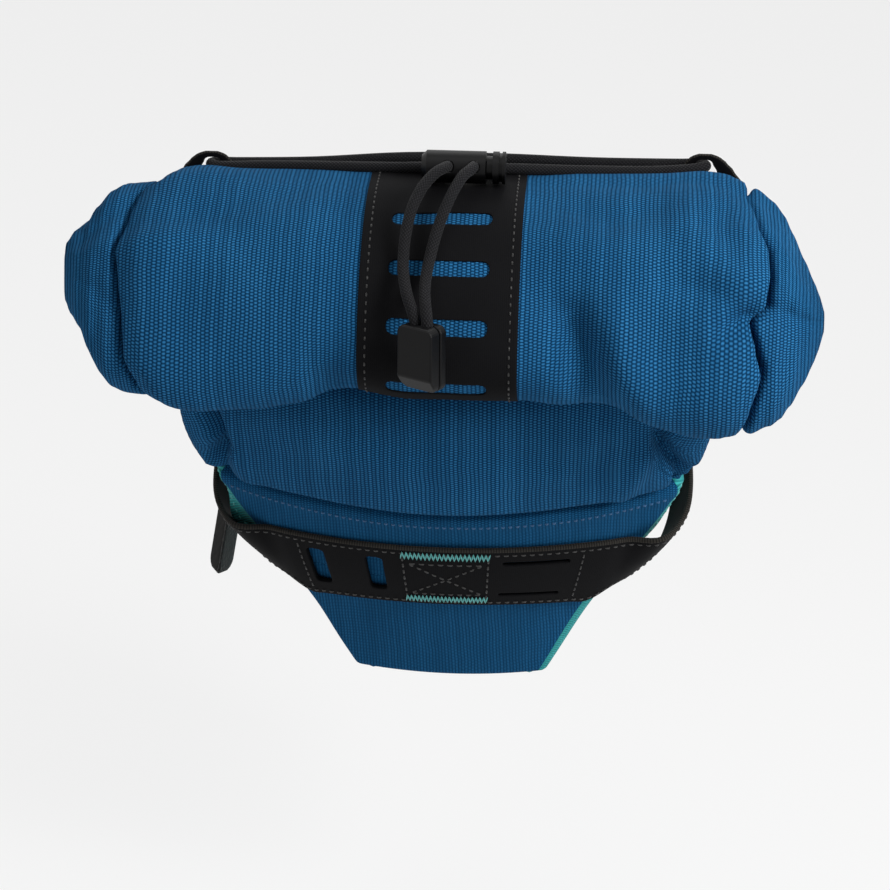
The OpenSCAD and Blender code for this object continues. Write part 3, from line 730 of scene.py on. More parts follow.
def make_cord_end(name, front=None, back=None):
    """One half of the clamp on the cord ends: a block with round corners and a sloped lower rear edge."""
    half_w, half_h = END_W / 2 - END_CORNER, END_H / 2 - END_CORNER
    outline = []
    for sx, sz, start in ((1, 1, 0), (-1, 1, 90), (-1, -1, 180), (1, -1, 270)):
        outline += arc((sx * half_w, sz * half_h), END_CORNER, start, start + 90, 6)
    mesh = bmesh.new()
    rings = [[mesh.verts.new((x, y, z)) for x, z in outline] for y in (-END_D / 2, END_D / 2)]
    count = len(outline)
    for i in range(count):
        j = (i + 1) % count
        mesh.faces.new((rings[0][i], rings[0][j], rings[1][j], rings[1][i]))
    mesh.faces.new(rings[0])
    mesh.faces.new(rings[1][::-1])
    cuts = [(Vector((0, -END_D / 2, -END_H / 2 + END_CHAMFER)), END_SLOPE)]
    if front is not None:
        cuts.append((Vector((0, front, 0)), Vector((0, 1, 0))))
    if back is not None:
        cuts.append((Vector((0, back, 0)), Vector((0, -1, 0))))
    for point, normal in cuts:
        parts = mesh.verts[:] + mesh.edges[:] + mesh.faces[:]
        cut = bmesh.ops.bisect_plane(mesh, geom=parts, plane_co=point, plane_no=normal, clear_outer=True)
        edges = [e for e in cut["geom_cut"] if isinstance(e, bmesh.types.BMEdge)]
        bmesh.ops.contextual_create(mesh, geom=edges)
    bmesh.ops.recalc_face_normals(mesh, faces=mesh.faces[:])
    turn = Quaternion((0, 0, 1), END_TURN).to_matrix()
    bmesh.ops.rotate(mesh, verts=mesh.verts[:], cent=(0, 0, 0), matrix=turn)
    for vert in mesh.verts:
        vert.co = (vert.co + END_C) * MM
    data = bpy.data.meshes.new("cord_end_" + name + "_shell")
    mesh.to_mesh(data)
    mesh.free()
    data.materials.append(PLASTIC)
    piece = add_object(data.name, data)
    bevel_edges(piece, 0.55, 3, 28)
    return worn(piece, "tails", "cord_plastic", "cord_end_" + name)


def make_cords():
    loop = tube("shock_cord_loop", spline(LOOP_ROUTE, 5), CORD_R, CORD, CORD_SIDES, CORD_ENDS)
    worn(loop, "roll", "elastic_cord", "shock_cord")
    end_pieces = [make_cord_end("body", back=END_SPLIT + END_SEAM), make_cord_end("cover", front=END_SPLIT)]
    for name, route in (("left_cord_tail", LEFT_TAIL), ("right_cord_tail", RIGHT_TAIL)):
        line = spline(route, 4)
        piece = tube(name + "_braided", line, CORD_R, CORD, CORD_SIDES, CORD_ENDS)
        worn(piece, "tails", "elastic_cord", name)
        tuple(Vector(route[0]) * MM)
        round(run_lengths(line)[-1] * MM, 4)
    for node in ("cord_lock_barrel", "cord_lock_plunger"):
        give(node, PLASTIC)
    for node in ("rear_stiffener", "base_stiffener", "mouth_stiffener"):
        give(node, SHEET)


SPRING_TURNS, SPRING_STEPS, SPRING_WIRE = 3, 20, 0.5


def make_spring():
    """A coil in the place of the CAD spring."""
    low, high = (Vector(corner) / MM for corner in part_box("cord_lock_spring"))
    middle, radius = (low + high) / 2, (high.z - low.z - SPRING_WIRE) / 2
    count = SPRING_TURNS * SPRING_STEPS
    route = []
    for i in range(count + 1):
        angle = math.tau * i / SPRING_STEPS
        route.append((mix(low.x + SPRING_WIRE / 2, high.x - SPRING_WIRE / 2, i / count),
                      middle.y + radius * math.cos(angle), middle.z + radius * math.sin(angle)))
    coil = tube("cord_lock_spring_coil", route, SPRING_WIRE / 2, STEEL, sides=10, ends=0.9)
    worn(coil, "roll", "spring_wire", "cord_lock_spring")
    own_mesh(coil)


make_cords()
make_spring()

# ---- The roll: a closed section, swept along X and sagged ----

ROLL_C = (-166.0, 81.5)
ROLL_R = 48.0
FACE, CREST = 162.0, 72.0
NOSE_R, CHIN_R, CHIN_DROP = 10.0, 14.0, 8.0
SECTION_POINTS, SECTION_ROUNDS = 400, 60
HINGE = (-148.0, 86.0)
ROLL_MID = Vector((-181.0, 98.0))


def polar(centre, radius, angle):
    a = math.radians(angle)
    return centre[0] + radius * math.cos(a), centre[1] + radius * math.sin(a)


def make_section():
    """The CAD roll's outline, rounded; it starts on the face and runs up and over."""
    tilt = math.radians(180 - FACE)
    chin = polar(ROLL_C, ROLL_R - CHIN_R, FACE)
    chin = (chin[0] - CHIN_DROP * math.sin(tilt), chin[1] - CHIN_DROP * math.cos(tilt))
    nose = polar(ROLL_C, ROLL_R - NOSE_R, CREST)
    outline = arc(ROLL_C, ROLL_R, FACE, CREST, 40) + arc(nose, NOSE_R, CREST - 6, -8, 16)
    outline += [(HINGE[0] + 1, HINGE[1] + 4), (HINGE[0] - 3, HINGE[1] + 1)] + arc(chin, CHIN_R, 268, FACE, 24)
    line = resample([Vector(p) for p in outline + outline[:1]], SECTION_POINTS + 1)[:-1]
    return relaxed(line, SECTION_ROUNDS)


SECTION = make_section()
SECTION_STEP = sum((SECTION[i] - SECTION[i - 1]).length for i in range(len(SECTION))) / len(SECTION)
SECTION_LENGTH = SECTION_STEP * len(SECTION)


def section_at(s):
    """The roll's (y, z) at a distance round it from the foot of its face."""
    place = s / SECTION_STEP
    i = math.floor(place)
    return SECTION[i % len(SECTION)].lerp(SECTION[(i + 1) % len(SECTION)], place - i)


# Folds of the wrap: path of (x, s), width, height
WRAP_FOLDS = [
    ([(-38, -14), (-33, -27)], 8, -3.6), ([(-99, 23), (-76, 26)], 5, 1.8),
    ([(-97, 34), (-70, 38), (-45, 52)], 8, -1.6), ([(-94, -14), (-70, -8), (-42, -4)], 10, 1.4),
    ([(-90, 56), (-66, 62)], 6, 1.2), ([(-95, 4), (-74, 10)], 6, -1.3),
    ([(-92, -24), (-60, -26)], 6, 1.4), ([(40, 4), (45, -12), (50, -26)], 7, -8.0),
    ([(54, 4), (61, -12), (68, -26)], 7.5, 4.2), ([(98, 10), (89, 4)], 3.5, -5.5),
    ([(95, 9), (84, 14), (70, 16)], 5, -2.6),
    ([(92, -2), (82, -10), (74, -24)], 9, 2.0), ([(90, 52), (86, 36), (91, 24)], 6, -2.6),
    ([(74, 56), (76, 34), (88, 20)], 7, 2.3), ([(34, 48), (52, 40), (66, 44)], 8, -1.7),
    ([(30, 28), (50, 22), (72, 26)], 9, 1.6)]
# Where the wrap ends, as (s, distance from the middle)
WRAP_EDGE = {-1: [(-28, 86), (-18, 92), (-11, 95.5), (0, 96.5), (11, 98), (22, 99.5), (38, 97), (50, 95),
                  (60, 90)],
             1: [(-28, 91.5), (-18, 94.5), (-8, 97.5), (-1, 95.5), (5, 93.5), (11, 98.5), (20, 99.5),
                 (30, 99), (42, 96), (50, 95), (60, 92.5)]}
# How far the roll's underside hangs below the CAD's level, and how far its crest rises, along x
SAG = [(-100, 5), (-56, 5), (-44, 3), (-34, -0.5), (-24, -2), (-10, 0), (20, -0.5), (38, 1), (56, 1.8),
       (66, 4.5), (84, 9.5), (100, 12.5)]
CREST_RISE = [(-100, -1.2), (-80, 0.8), (-40, 1.4), (26, 1.6), (42, 2.2), (62, 2.8), (80, 3.4), (100, 1.8)]
# Where the cloth's rows start and end, round the roll
SECTION_START = 130 - SECTION_LENGTH
# How far the cloth stands out next to its hem, drops at the hem and is drawn in beside the patch
PUFF, HEM_DROP, WAIST = 1.3, 1.8, 0.5


def wrap_edge(side, s):
    return knots(WRAP_EDGE[side], s)


def roll_point(x, s, lift=0.0):
    """A place on the wrap: x across the bag, s round the roll."""
    y, z = section_at(s)
    low = clamp((ROLL_MID.y + 14 - z) / 40)
    crest = smooth((z - 112) / 14) * smooth((y + 168) / 12)
    z += knots(CREST_RISE, x) * crest - knots(SAG, x) * low
    out = (Vector((y, z)) - ROLL_MID).normalized()
    side = -1 if x < 0 else 1
    inside = wrap_edge(side, s) - abs(x)
    visible = smooth(1.4 - abs(s - 18) / 62)
    puff = PUFF * bell(inside - 10, 8) - HEM_DROP * smooth(1 - inside / 4)
    waist = -WAIST * bell(abs(x) - 30, 6)
    bump = fold_height(WRAP_FOLDS, x, s) + 0.7 * ripple(x, s, 30, 3.1) + 0.3 * ripple(x, s, 11, 7.7)
    spread = Vector((y, z)) + out * (lift + visible * (bump + puff + waist))
    return Vector((x, spread.x, spread.y))


def turn_of_section(count):
    return [SECTION_START + SECTION_LENGTH * i / count for i in range(count)]


# Section through the wrap's rolled hem: how far past its edge, and how deep
HEM = [(-1.5, 7.0), (0.4, 5.4), (1.6, 3.4), (1.9, 1.8), (1.4, 0.6)]
WRAP_ROWS, WRAP_COLUMNS = 230, 120


def make_wrap():
    around = turn_of_section(WRAP_ROWS)
    columns = [(-1, a, b) for a, b in HEM] + [(0, t, 0) for t in steps(0, 1, 1 / WRAP_COLUMNS)]
    columns += [(1, a, b) for a, b in HEM[::-1]]
    rows, uvs = [], []
    for side, a, b in columns:
        row, uv = [], []
        for s in around:
            x = side * (wrap_edge(side, s) + a) if side else mix(-wrap_edge(-1, s), wrap_edge(1, s), a)
            row.append(roll_point(x, s, -b))
            uv.append((x + side * b * 0.8, s))
        rows.append(row + row[:1])
        uvs.append(uv + [(uv[0][0], SECTION_START + SECTION_LENGTH)])
    wrap = grid("roll_wrap_cloth", rows, BLUE, uvs, thickness=0.9)
    worn(wrap, "roll", "shell_fabric", "roll_outer_wrap")
    weld(wrap)


# Height and depth of the roll's ends, as shares of the full section, against the distance from the middle
EAR_TALL = {-1: [(86, 0.975), (96, 0.97), (100, 0.965), (104, 0.94), (107.5, 0.86), (112, 0.66),
                 (114.5, 0.5), (118, 0.41), (120.5, 0.29)],
            1: [(86, 0.99), (94, 0.99), (98, 0.975), (104, 0.89), (107.5, 0.81), (110, 0.69), (114, 0.5),
                (117, 0.34), (119, 0.21), (120.3, 0.08)]}
EAR_DEEP = {-1: [(86, 0.96), (98, 0.93), (104, 0.85), (110, 0.68), (115, 0.46), (118.5, 0.28), (120.5, 0.14)],
            1: [(86, 0.96), (98, 0.93), (104, 0.84), (110, 0.64), (115, 0.4), (118, 0.22), (120.3, 0.06)]}
EAR_TIP = {-1: Vector((-186, 103)), 1: Vector((-187, 94))}
EAR_FOLDS = {-1: [([(100, 46), (112, 34)], 4, -1.2), ([(100, 2), (114, 8)], 4, -0.9),
                  ([(100, -14), (108, -20)], 4, 1.0)],
             1: [([(101, 44), (112, 30), (117, 16)], 4, 1.0), ([(101, 20), (110, 12)], 4, -0.9),
                 ([(101, -8), (110, -4)], 5, -1.0), ([(100, -24), (108, -14)], 4, 0.9)]}
EAR_ROWS, EAR_FAN = 160, 9
# Stretch of the weave along a roll end, and how deep its flat end is dished
EAR_STRETCH, EAR_DISH = 1.15, 0.9


def ear_point(side, x, s):
    """A turn of the roll that sticks out past the wrap and closes to its flat folded end."""
    base = roll_point(side * min(x, 99.0), s)
    tuck = bell(x - wrap_edge(side, s) - 1.6, 2.1)
    centre = ROLL_MID.lerp(EAR_TIP[side], smooth((x - 98) / 21))
    y = centre.x + (base.y - ROLL_MID.x) * (knots(EAR_DEEP[side], x) - 0.3 * tuck)
    z = centre.y + (base.z - ROLL_MID.y) * (knots(EAR_TALL[side], x) - 0.12 * tuck)
    out = (Vector((y, z)) - centre).normalized()
    rise = fold_height(EAR_FOLDS[side], x, s) + 0.5 * ripple(x, s, 12, 4.4 + side)
    fade = smooth((120.5 - x) / 4)
    return Vector((side * x, y + out.x * rise * fade, z + out.y * rise * fade))


def make_ear(side):
    around = turn_of_section(EAR_ROWS)
    closed = around + [SECTION_START + SECTION_LENGTH]
    tip = EAR_TALL[side][-1][0]
    columns = steps(84, 96, 2.2)[:-1] + steps(96, tip, 0.7)
    rows, uvs = [], []
    for x in columns:
        row = [ear_point(side, x, s) for s in around]
        rows.append(row + row[:1])
        uvs.append([(side * x * EAR_STRETCH, s) for s in closed])
    rim = rows[-1]
    centre = Vector((side * tip, *EAR_TIP[side]))
    for k in range(1, EAR_FAN):
        t = k / EAR_FAN
        dish = Vector((side * EAR_DISH * math.sin(math.pi * t), 0, 0))
        rows.append([p.lerp(centre, t) - dish for p in rim])
        uvs.append([(side * (tip * EAR_STRETCH + t * 6), s) for s in closed])
    ear = grid(SIDE_NAME[side] + "_roll_end", rows, BLUE, uvs)
    weld(ear)
    worn(ear, "roll", "shell_fabric", *(["roll_inner_turns"] if side < 0 else []))


PATCH_HALF = 25.0
PATCH_LOW, PATCH_HIGH = -33.0, 88.0
PATCH_LIFT, PATCH_T = 1.45, 1.1
# Middle, width, height and corner radius of each slot
SLOTS = [(-0.3, s, 31.5, 5.0, 2.2) for s in (-20.5, 0.0, 18.0, 36.0)]


def patch_place(x, s):
    """A place on the patch's outer face, and its outward normal."""
    d = 0.4
    p = roll_point(x, s, PATCH_LIFT)
    across = roll_point(x + d, s, PATCH_LIFT) - roll_point(x - d, s, PATCH_LIFT)
    up = roll_point(x, s + d, PATCH_LIFT) - roll_point(x, s - d, PATCH_LIFT)
    normal = up.cross(across).normalized()
    return p, normal if normal.dot(p - Vector((x, *ROLL_MID))) > 0 else -normal


def make_patch():
    across, around = steps(-PATCH_HALF, PATCH_HALF, 0.9), steps(PATCH_LOW, PATCH_HIGH, 0.9)
    patch = cut_sheet("slotted_patch_sheet", across, around, SLOTS, patch_place, BLACK, PATCH_T)
    worn(patch, "roll", "laminate", "slotted_patch")
    rows = [[patch_place(x, s) for s in steps(PATCH_LOW + 2, PATCH_HIGH - 2, 1.5)]
            for x in (-PATCH_HALF + 2.6, PATCH_HALF - 2.6)]
    hem = stitches("patch_stitching", rows, THREAD_BLACK, length=1.7, gap=1.0, radius=0.26)
    worn(hem, "roll", "laminate")


make_wrap()
make_ear(-1)
make_ear(1)
make_patch()

# ---- Cord tabs behind the roll's ends ----

TAB_BACK, TAB_BEND, TAB_TOP = -143.4, 117.0, (-149.8, 139.0)
TAB_T = 1.4
TAB_ROOT = 98.0
TAB_HOLE = {-1: (78.5, 129.0), 1: (81.5, 132.7)}
# Reach of a tab's inner and outer edge from its hole, against the height over the hole
TAB_EDGES = [(-34, 11, 17), (-6, 6.6, 12), (-1.5, 6, 9), (1, 5.6, 6.8), (2.8, 4.2, 4.8), (3.9, 1.6, 2)]


def tab_place(side):
    hole_x, hole_z = TAB_HOLE[side]
    inner = [(h, a) for h, a, _ in TAB_EDGES]
    outer = [(h, b) for h, _, b in TAB_EDGES]

    def place(u, v):
        tilt = max(0.0, (v - TAB_BEND) / (TAB_TOP[1] - TAB_BEND))
        x = mix(-knots(inner, v - hole_z), knots(outer, v - hole_z), (u + 1) / 2)
        point = Vector((side * (hole_x + x), TAB_BACK + (TAB_TOP[0] - TAB_BACK) * tilt, v))
        return point, Vector((0, -1, 0)) if tilt <= 0 else Vector((0, -0.952, -0.305))
    return place


def make_tab(side):
    """Strip of laminate with a slot that the cord hangs in, bound along its edge."""
    hole_z = TAB_HOLE[side][1]
    place, name = tab_place(side), SIDE_NAME[side]
    slot = [(-0.1, hole_z - 2.6, 0.9, 10.2, 0.42)]
    heights = steps(TAB_ROOT, hole_z + 3.9, 0.5)
    tab = cut_sheet(name + "_tab_sheet", steps(-1, 1, 0.05), heights, slot, place, BLACK, TAB_T)
    worn(tab, "roll", "laminate", name + "_cord_tab")
    rise = steps(TAB_ROOT + 2, hole_z + 3.8, 0.6)
    rim = [place(-1, v)[0] for v in rise] + [place(1, v)[0] for v in reversed(rise)]
    back = Vector((0, TAB_T / 2, 0))
    worn(tube(name + "_tab_binding", [p + back for p in rim], 0.65, EDGE, sides=8), "roll", "laminate")


make_tab(-1)
make_tab(1)

# ---- The bag's body: rings from the base up, as the CAD panels have them ----

LEAN = math.radians(17)
POST_R, FRONT_GAP = 13.6, 0.7
BASE_W, SEAM_W, COLLAR_W = 64.0, 156.0, 176.0
BACK_H = 75.0
BACK_SLOPE = math.radians(30)
SEAM_Z, SEAM_Y = 18.0, -172.0
BASE_Z, BASE_Y = SEAM_Z - BACK_H, SEAM_Y + BACK_H * math.tan(BACK_SLOPE)
COLLAR_Z, COLLAR_Y = 60.0, -189.0
TOP_Z, TOP_Y = 81.0, -150.0
# How far the filled bag swells past its straight lines, at the rear corners and along the sides
SIDE_BULGE, CORNER_SWELL, SIDE_SWELL, SWELL_REACH = 4.0, 2.0, 7.0, 0.36


def front_y(z):
    return -z * math.tan(LEAN) - (POST_R + FRONT_GAP) / math.cos(LEAN)


def level(h):
    """One level of the body, from the base (0) by the seam (1) and the collar (2) to the top (3): middle
    height and depth, half width, corner's forward and upward step, front half width and height, swell."""
    if h <= 1:
        wide = mix(BASE_W, SEAM_W, h) / 2 + CORNER_SWELL * math.sin(math.pi * h ** 4)
        return (mix(BASE_Z, SEAM_Z, h), mix(BASE_Y, SEAM_Y, h), wide, mix(3, 20, h), mix(1, 7, h),
                mix(23, 31, h), mix(BASE_Z - 5, SEAM_Z + 8, h), SIDE_SWELL * h ** 4)
    if h <= 2:
        k = h - 1
        bend = math.sin(math.pi / 2 * k)
        return (mix(SEAM_Z, COLLAR_Z, k), mix(SEAM_Y, COLLAR_Y, bend), mix(SEAM_W, COLLAR_W, bend) / 2,
                mix(20, 18, k), mix(7, 5, k), mix(31, 33, k), mix(SEAM_Z + 8, COLLAR_Z, k),
                SIDE_SWELL * (1 - k))
    k = h - 2
    rise, run = math.sin(math.pi / 2 * k), 1 - math.cos(math.pi / 2 * k)
    return (mix(COLLAR_Z, TOP_Z, rise), mix(COLLAR_Y, TOP_Y, run), mix(COLLAR_W, SEAM_W, run) / 2,
            mix(18, 2, k), mix(5, 0, k), mix(33, 34, k), mix(COLLAR_Z, TOP_Z - 3, k), 0.0)


def gusset_share(h):
    return mix(0.3, 0.1, h) if h <= 1 else mix(0.1, 0.46, (h - 1) / 2)


def back_point(v, q):
    """Across the back of a level, q from -1 at the left corner to 1 at the right."""
    return Vector((v[2] * q, v[1] + v[3] * q * q, v[0] + v[4] * q * q))


def side_point(v, s):
    """Along the right side of a level, s from 0 at the rear corner to 1 at the front."""
    rear, front = back_point(v, 1), Vector((v[5], front_y(v[6]), v[6]))
    swell = SIDE_BULGE * math.sin(math.pi * s) + v[7] * math.sin(math.pi * min(1, s / SWELL_REACH)) ** 2
    return rear.lerp(front, s) + Vector((swell, 0, 0))


# Folds of the collar's back: path of (x, height above the seam), width, height
COLLAR_FOLDS = [
    ([(-77, 40), (-75, 32), (-72, 22), (-75.5, 12), (-73, 3)], 2.6, -8.5), ([(-72, 32), (-64, 4)], 3.2, 1.8),
    ([(70, 40), (69.5, 30), (73, 20), (77.5, 10), (76.5, 3)], 2.6, -8.5), ([(67, 32), (57, 6)], 3.6, 2.4),
    ([(52, 30), (42, 10)], 6, -1.4), ([(-52, 28), (-44, 12)], 8, -1.0), ([(10, 34), (44, 26)], 6, -1.0),
    ([(-10, 8), (26, 14)], 9, 0.9), ([(-30, 36), (8, 32)], 6, -0.8)]
BACK_COLS, GUSSET_COLS, PANEL_COLS, FRONT_COLS = 96, 14, 34, 20
# Below the yoke the right side's teal cloth shows round the corner by this many columns
TEAL_COLS = 4
# How far the filled bag's base hangs below its stiffener
HANG = 2.8
SIDE_COLS = GUSSET_COLS + PANEL_COLS
RING = BACK_COLS + 2 * SIDE_COLS + FRONT_COLS


def ring_point(h, c):
    v = level(h)
    if c <= BACK_COLS:
        return back_point(v, 2 * c / BACK_COLS - 1)
    if c > BACK_COLS + SIDE_COLS + FRONT_COLS:
        p = ring_point(h, BACK_COLS + RING - c)
        return Vector((-p.x, p.y, p.z))
    k = c - BACK_COLS
    if k > SIDE_COLS:
        return Vector((mix(v[5], -v[5], (k - SIDE_COLS) / FRONT_COLS), front_y(v[6]), v[6]))
    g = gusset_share(h)
    share = g * k / GUSSET_COLS if k <= GUSSET_COLS else mix(g, 1, (k - GUSSET_COLS) / PANEL_COLS)
    return side_point(v, share)


SEAM_ROWS = [0.004, 0.010, 0.018, 0.028, 0.04, 0.055]
# The rounded underside below the lowest level: share of the way to its middle, and drop
UNDER = [(0.2, 1.6), (0.1, 1.3), (0.035, 0.7)]
HEIGHTS = ([-0.03, -0.02, -0.01] + steps(0, 0.05, 0.01)[:-1] + steps(0.05, 0.94, 0.025)
           + [1 - r for r in reversed(SEAM_ROWS[:-1])] + [1.0] + [1 + 1.6 * r for r in SEAM_ROWS]
           + steps(1.12, 2, 0.025) + steps(2.03, 3, 0.045))
LAST_ROW = len(HEIGHTS) - 1
SEAM_ROW = HEIGHTS.index(1.0)
TEAL_ROW = min(range(len(HEIGHTS)), key=lambda r: abs(HEIGHTS[r] - 0.6))
# Cloth from the base to the seam, and from the seam to the collar's widest level
PANEL_RUN, COLLAR_RUN = 88, 46
# The collar stands out over the seam, the cloth dips at the seam and swells below it, the rear corners
# puff out, and the cloth is drawn in at the base
COLLAR_PUFF, SEAM_PINCH, PANEL_PINCH, SEAM_WELT, COLLAR_CORNER = 3.2, 2.6, 3.0, 0.9, 4.0
PANEL_CORNER, BASE_PINCH = 1.5, 3.0
# A load in the bag pushes out its corners behind the yoke's upper edge, mostly the left one
LEFT_BUMP, RIGHT_BUMP, BUMP_LEVEL, BUMP_REACH = 6.5, 1.3, 0.75, 0.09


def shape_bag():
    """The body's rows of points: its levels, softened, then raised and creased along their normals."""
    heights = HEIGHTS[len(UNDER):]
    rows = [[ring_point(h, c) for c in range(RING)] for h in heights]
    soft = [relaxed(row, round(3 + 9 * smooth(h - 1))) for row, h in zip(rows, heights)]
    out = []
    for r, (row, h) in enumerate(zip(soft, heights)):
        above, below = soft[min(r + 1, len(soft) - 1)], soft[max(r - 1, 0)]
        new = []
        for c, p in enumerate(row):
            normal = (row[(c + 1) % RING] - row[c - 1]).cross(above[c] - below[c]).normalized()
            from_seam = (h - 1) * (PANEL_RUN if h < 1 else COLLAR_RUN)
            off_back = min(max(0, c - BACK_COLS), RING - c)
            back = smooth(1 - off_back / 5)
            rise = 0.0
            if h >= 1:
                pinch = SEAM_PINCH * (1 - smooth(from_seam / 1.7))
                rise += back * (COLLAR_PUFF * smooth(from_seam / 6) - pinch)
                rise += fold_height(COLLAR_FOLDS, p.x, from_seam) * back * smooth((3 - h) * 1.6)
                rise += 0.8 * ripple(p.x, from_seam, 22, 5.5) * smooth(from_seam / 12) * smooth((3 - h) * 2)
                corner = smooth((h - 1) / 0.6) * smooth((3 - h) * 1.4) * bell(off_back - 9, 6)
                rise += COLLAR_CORNER * corner * (1 - back)
            else:
                rise -= back * PANEL_PINCH * (1 - smooth(-from_seam / 1.9))
                rise += back * SEAM_WELT * bell(from_seam + 4.5, 2.6)
                rise += PANEL_CORNER * (1 - back) * bell(off_back - 6, 6) * smooth(h * 2)
                rise += 0.5 * ripple(p.x + p.y, from_seam, 26, 2.2) * smooth(h * 6) * smooth(-from_seam / 8)
                bump = LEFT_BUMP if c > RING / 2 else RIGHT_BUMP
                rise += bump * (1 - back) * bell(off_back - 5, 5) * bell(h - BUMP_LEVEL, BUMP_REACH)
            rise -= BASE_PINCH * (1 - smooth(h * PANEL_RUN / 4.5)) ** 2
            new.append(p + normal * rise - Vector((0, 0, HANG * (1 - smooth(h / 0.35)))))
        out.append(new)
    centre = sum(out[0], Vector()) / RING
    return [[p.lerp(centre, share) - Vector((0, 0, drop)) for p in out[0]] for share, drop in UNDER] + out


BODY = shape_bag()


def cloth_uv(rows):
    """Lengths along and across the cloth, measured from its middle column and lowest row."""
    middle = len(rows[0]) // 2
    out = []
    for row, v in zip(rows, run_lengths([row[middle] for row in rows])):
        run = run_lengths(row)
        out.append([(r - run[middle], v) for r in run])
    return out


CLOTH_T, LID_T, PANEL_BEVEL = 1.3, 1.4, 0.3
LID_ROWS = 30
FRONT_START = BACK_COLS + SIDE_COLS
LEFT_START = FRONT_START + FRONT_COLS


def body_piece(name, node, slot, material, first, last, start, stop):
    """Cloth of the body from one row to another and from one column to another."""
    rows = [[BODY[r][c % RING] for c in range(start, stop + 1)] for r in range(first, last + 1)]
    piece = grid(name, rows, material, cloth_uv(rows), CLOTH_T, rim_bevel=PANEL_BEVEL)
    return worn(piece, "bag", slot, node)


def side_cloth(name, start, strip, gusset, panel):
    """A side's teal cloth and blue gusset, whose shared edge leans back; the gusset starts at the seam."""
    body_piece(name + "_gusset_cloth", "collar_" + name + "_gusset", "shell_fabric", BLUE, SEAM_ROW, LAST_ROW,
               *gusset)
    for part, first, last, columns in (("", 0, TEAL_ROW, (start - strip, start + SIDE_COLS)),
                                       ("_middle", TEAL_ROW, SEAM_ROW, (start, start + SIDE_COLS)),
                                       ("_upper", SEAM_ROW, LAST_ROW, panel)):
        body_piece(name + "_side_cloth" + part, name + "_side_panel", "side_fabric", TEAL, first, last,
                   *columns)


def lid(name, nodes, ring, turn):
    """Flat top or base, gridded between the ring's back and front edges."""
    back = ring[:BACK_COLS + 1]
    front = resample([ring[c % RING] for c in range(LEFT_START, FRONT_START - 1, -1)], BACK_COLS + 1)
    rows = []
    right = [ring[BACK_COLS + round(SIDE_COLS * k / LID_ROWS)] for k in range(LID_ROWS + 1)]
    left = [ring[-round(SIDE_COLS * k / LID_ROWS)] for k in range(LID_ROWS + 1)]
    for k in range(LID_ROWS + 1):
        t = k / LID_ROWS
        row = []
        for c in range(BACK_COLS + 1):
            s = c / BACK_COLS
            edge = back[c].lerp(front[c], t)
            straight = back[0].lerp(front[0], t).lerp(back[-1].lerp(front[-1], t), s)
            row.append(edge + left[k].lerp(right[k], s) - straight)
        rows.append(row)
    piece = grid(name, rows, LINER, cloth_uv(rows), LID_T, turn, PANEL_BEVEL)
    worn(piece, "bag", "laminate", *nodes)


def surface_spot(r, c):
    """A point of the body and its normal."""
    across = BODY[r][(c + 1) % RING] - BODY[r][(c - 1) % RING]
    up = BODY[min(r + 1, LAST_ROW)][c % RING] - BODY[max(r - 1, 0)][c % RING]
    return BODY[r][c % RING], across.cross(up).normalized()


def make_body():
    body_piece("rear_panel_cloth", "rear_panel", "shell_fabric", FINE_BLUE, 0, TEAL_ROW,
               0, BACK_COLS - TEAL_COLS)
    body_piece("rear_panel_cloth_upper", "rear_panel", "shell_fabric", FINE_BLUE, TEAL_ROW, SEAM_ROW,
               0, BACK_COLS)
    body_piece("collar_cloth", "collar_rear", "shell_fabric", BLUE, SEAM_ROW, LAST_ROW, 0, BACK_COLS)
    body_piece("front_panel_sheet", "front_panel", "laminate", LINER, 0, LAST_ROW, FRONT_START, LEFT_START)
    side_cloth("left", LEFT_START, 0, (RING - GUSSET_COLS, RING), (LEFT_START, LEFT_START + PANEL_COLS))
    side_cloth("right", BACK_COLS, TEAL_COLS, (BACK_COLS, BACK_COLS + GUSSET_COLS),
               (BACK_COLS + GUSSET_COLS, BACK_COLS + SIDE_COLS))
    lid("base_sheet", ["base_panel"], BODY[0], True)
    lid("top_sheet", ["top_panel", "collar_front"], BODY[LAST_ROW], False)
    topstitch = [[surface_spot(SEAM_ROW - 6, c) for c in range(2, BACK_COLS - 1)]]
    seam = stitches("seam_stitching", topstitch, THREAD_BLUE, length=1.6, gap=0.8, radius=0.34)
    worn(seam, "bag", "shell_fabric")
    edges = [[surface_spot(r, c) for r in range(5, SEAM_ROW - 1)] for c in (BACK_COLS + 3, RING - 3)]
    sides = stitches("side_stitching", edges, THREAD_TEAL, length=2.2, gap=0.9, radius=0.3)
    worn(sides, "bag", "side_fabric")
    top_line = [BODY[LAST_ROW][c % RING] for c in range(BACK_COLS, RING + 1)]
    worn(tube("top_binding", top_line, 1.1, LINER, sides=10), "bag", "laminate")
    for name, column in (("right", FRONT_START), ("left", LEFT_START)):
        line = [row[column] for row in BODY]
        worn(tube(name + "_front_binding", line, 1.5, LINER, sides=10), "bag", "laminate")


make_body()


def make_throat():
    """Cloth between the bag's top edge and the roll."""
    ring = BODY[LAST_ROW]
    rows = []
    for t in steps(0, 1, 1 / 8):
        row = []
        for c in range(0, BACK_COLS + 1, 2):
            p = ring[c]
            goal = Vector((p.x * 1.08, HINGE[0] - 2 - 0.03 * abs(p.x), HINGE[1] + 6))
            row.append(p.lerp(goal, t) + Vector((0, -0.8 * math.sin(math.pi * t), 0.6)))
        rows.append(row)
    piece = grid("collar_throat", rows, BLUE, cloth_uv(rows), thickness=0.8)
    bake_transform(piece)


make_throat()

# ---- Yoke strap with its slots and stitching ----

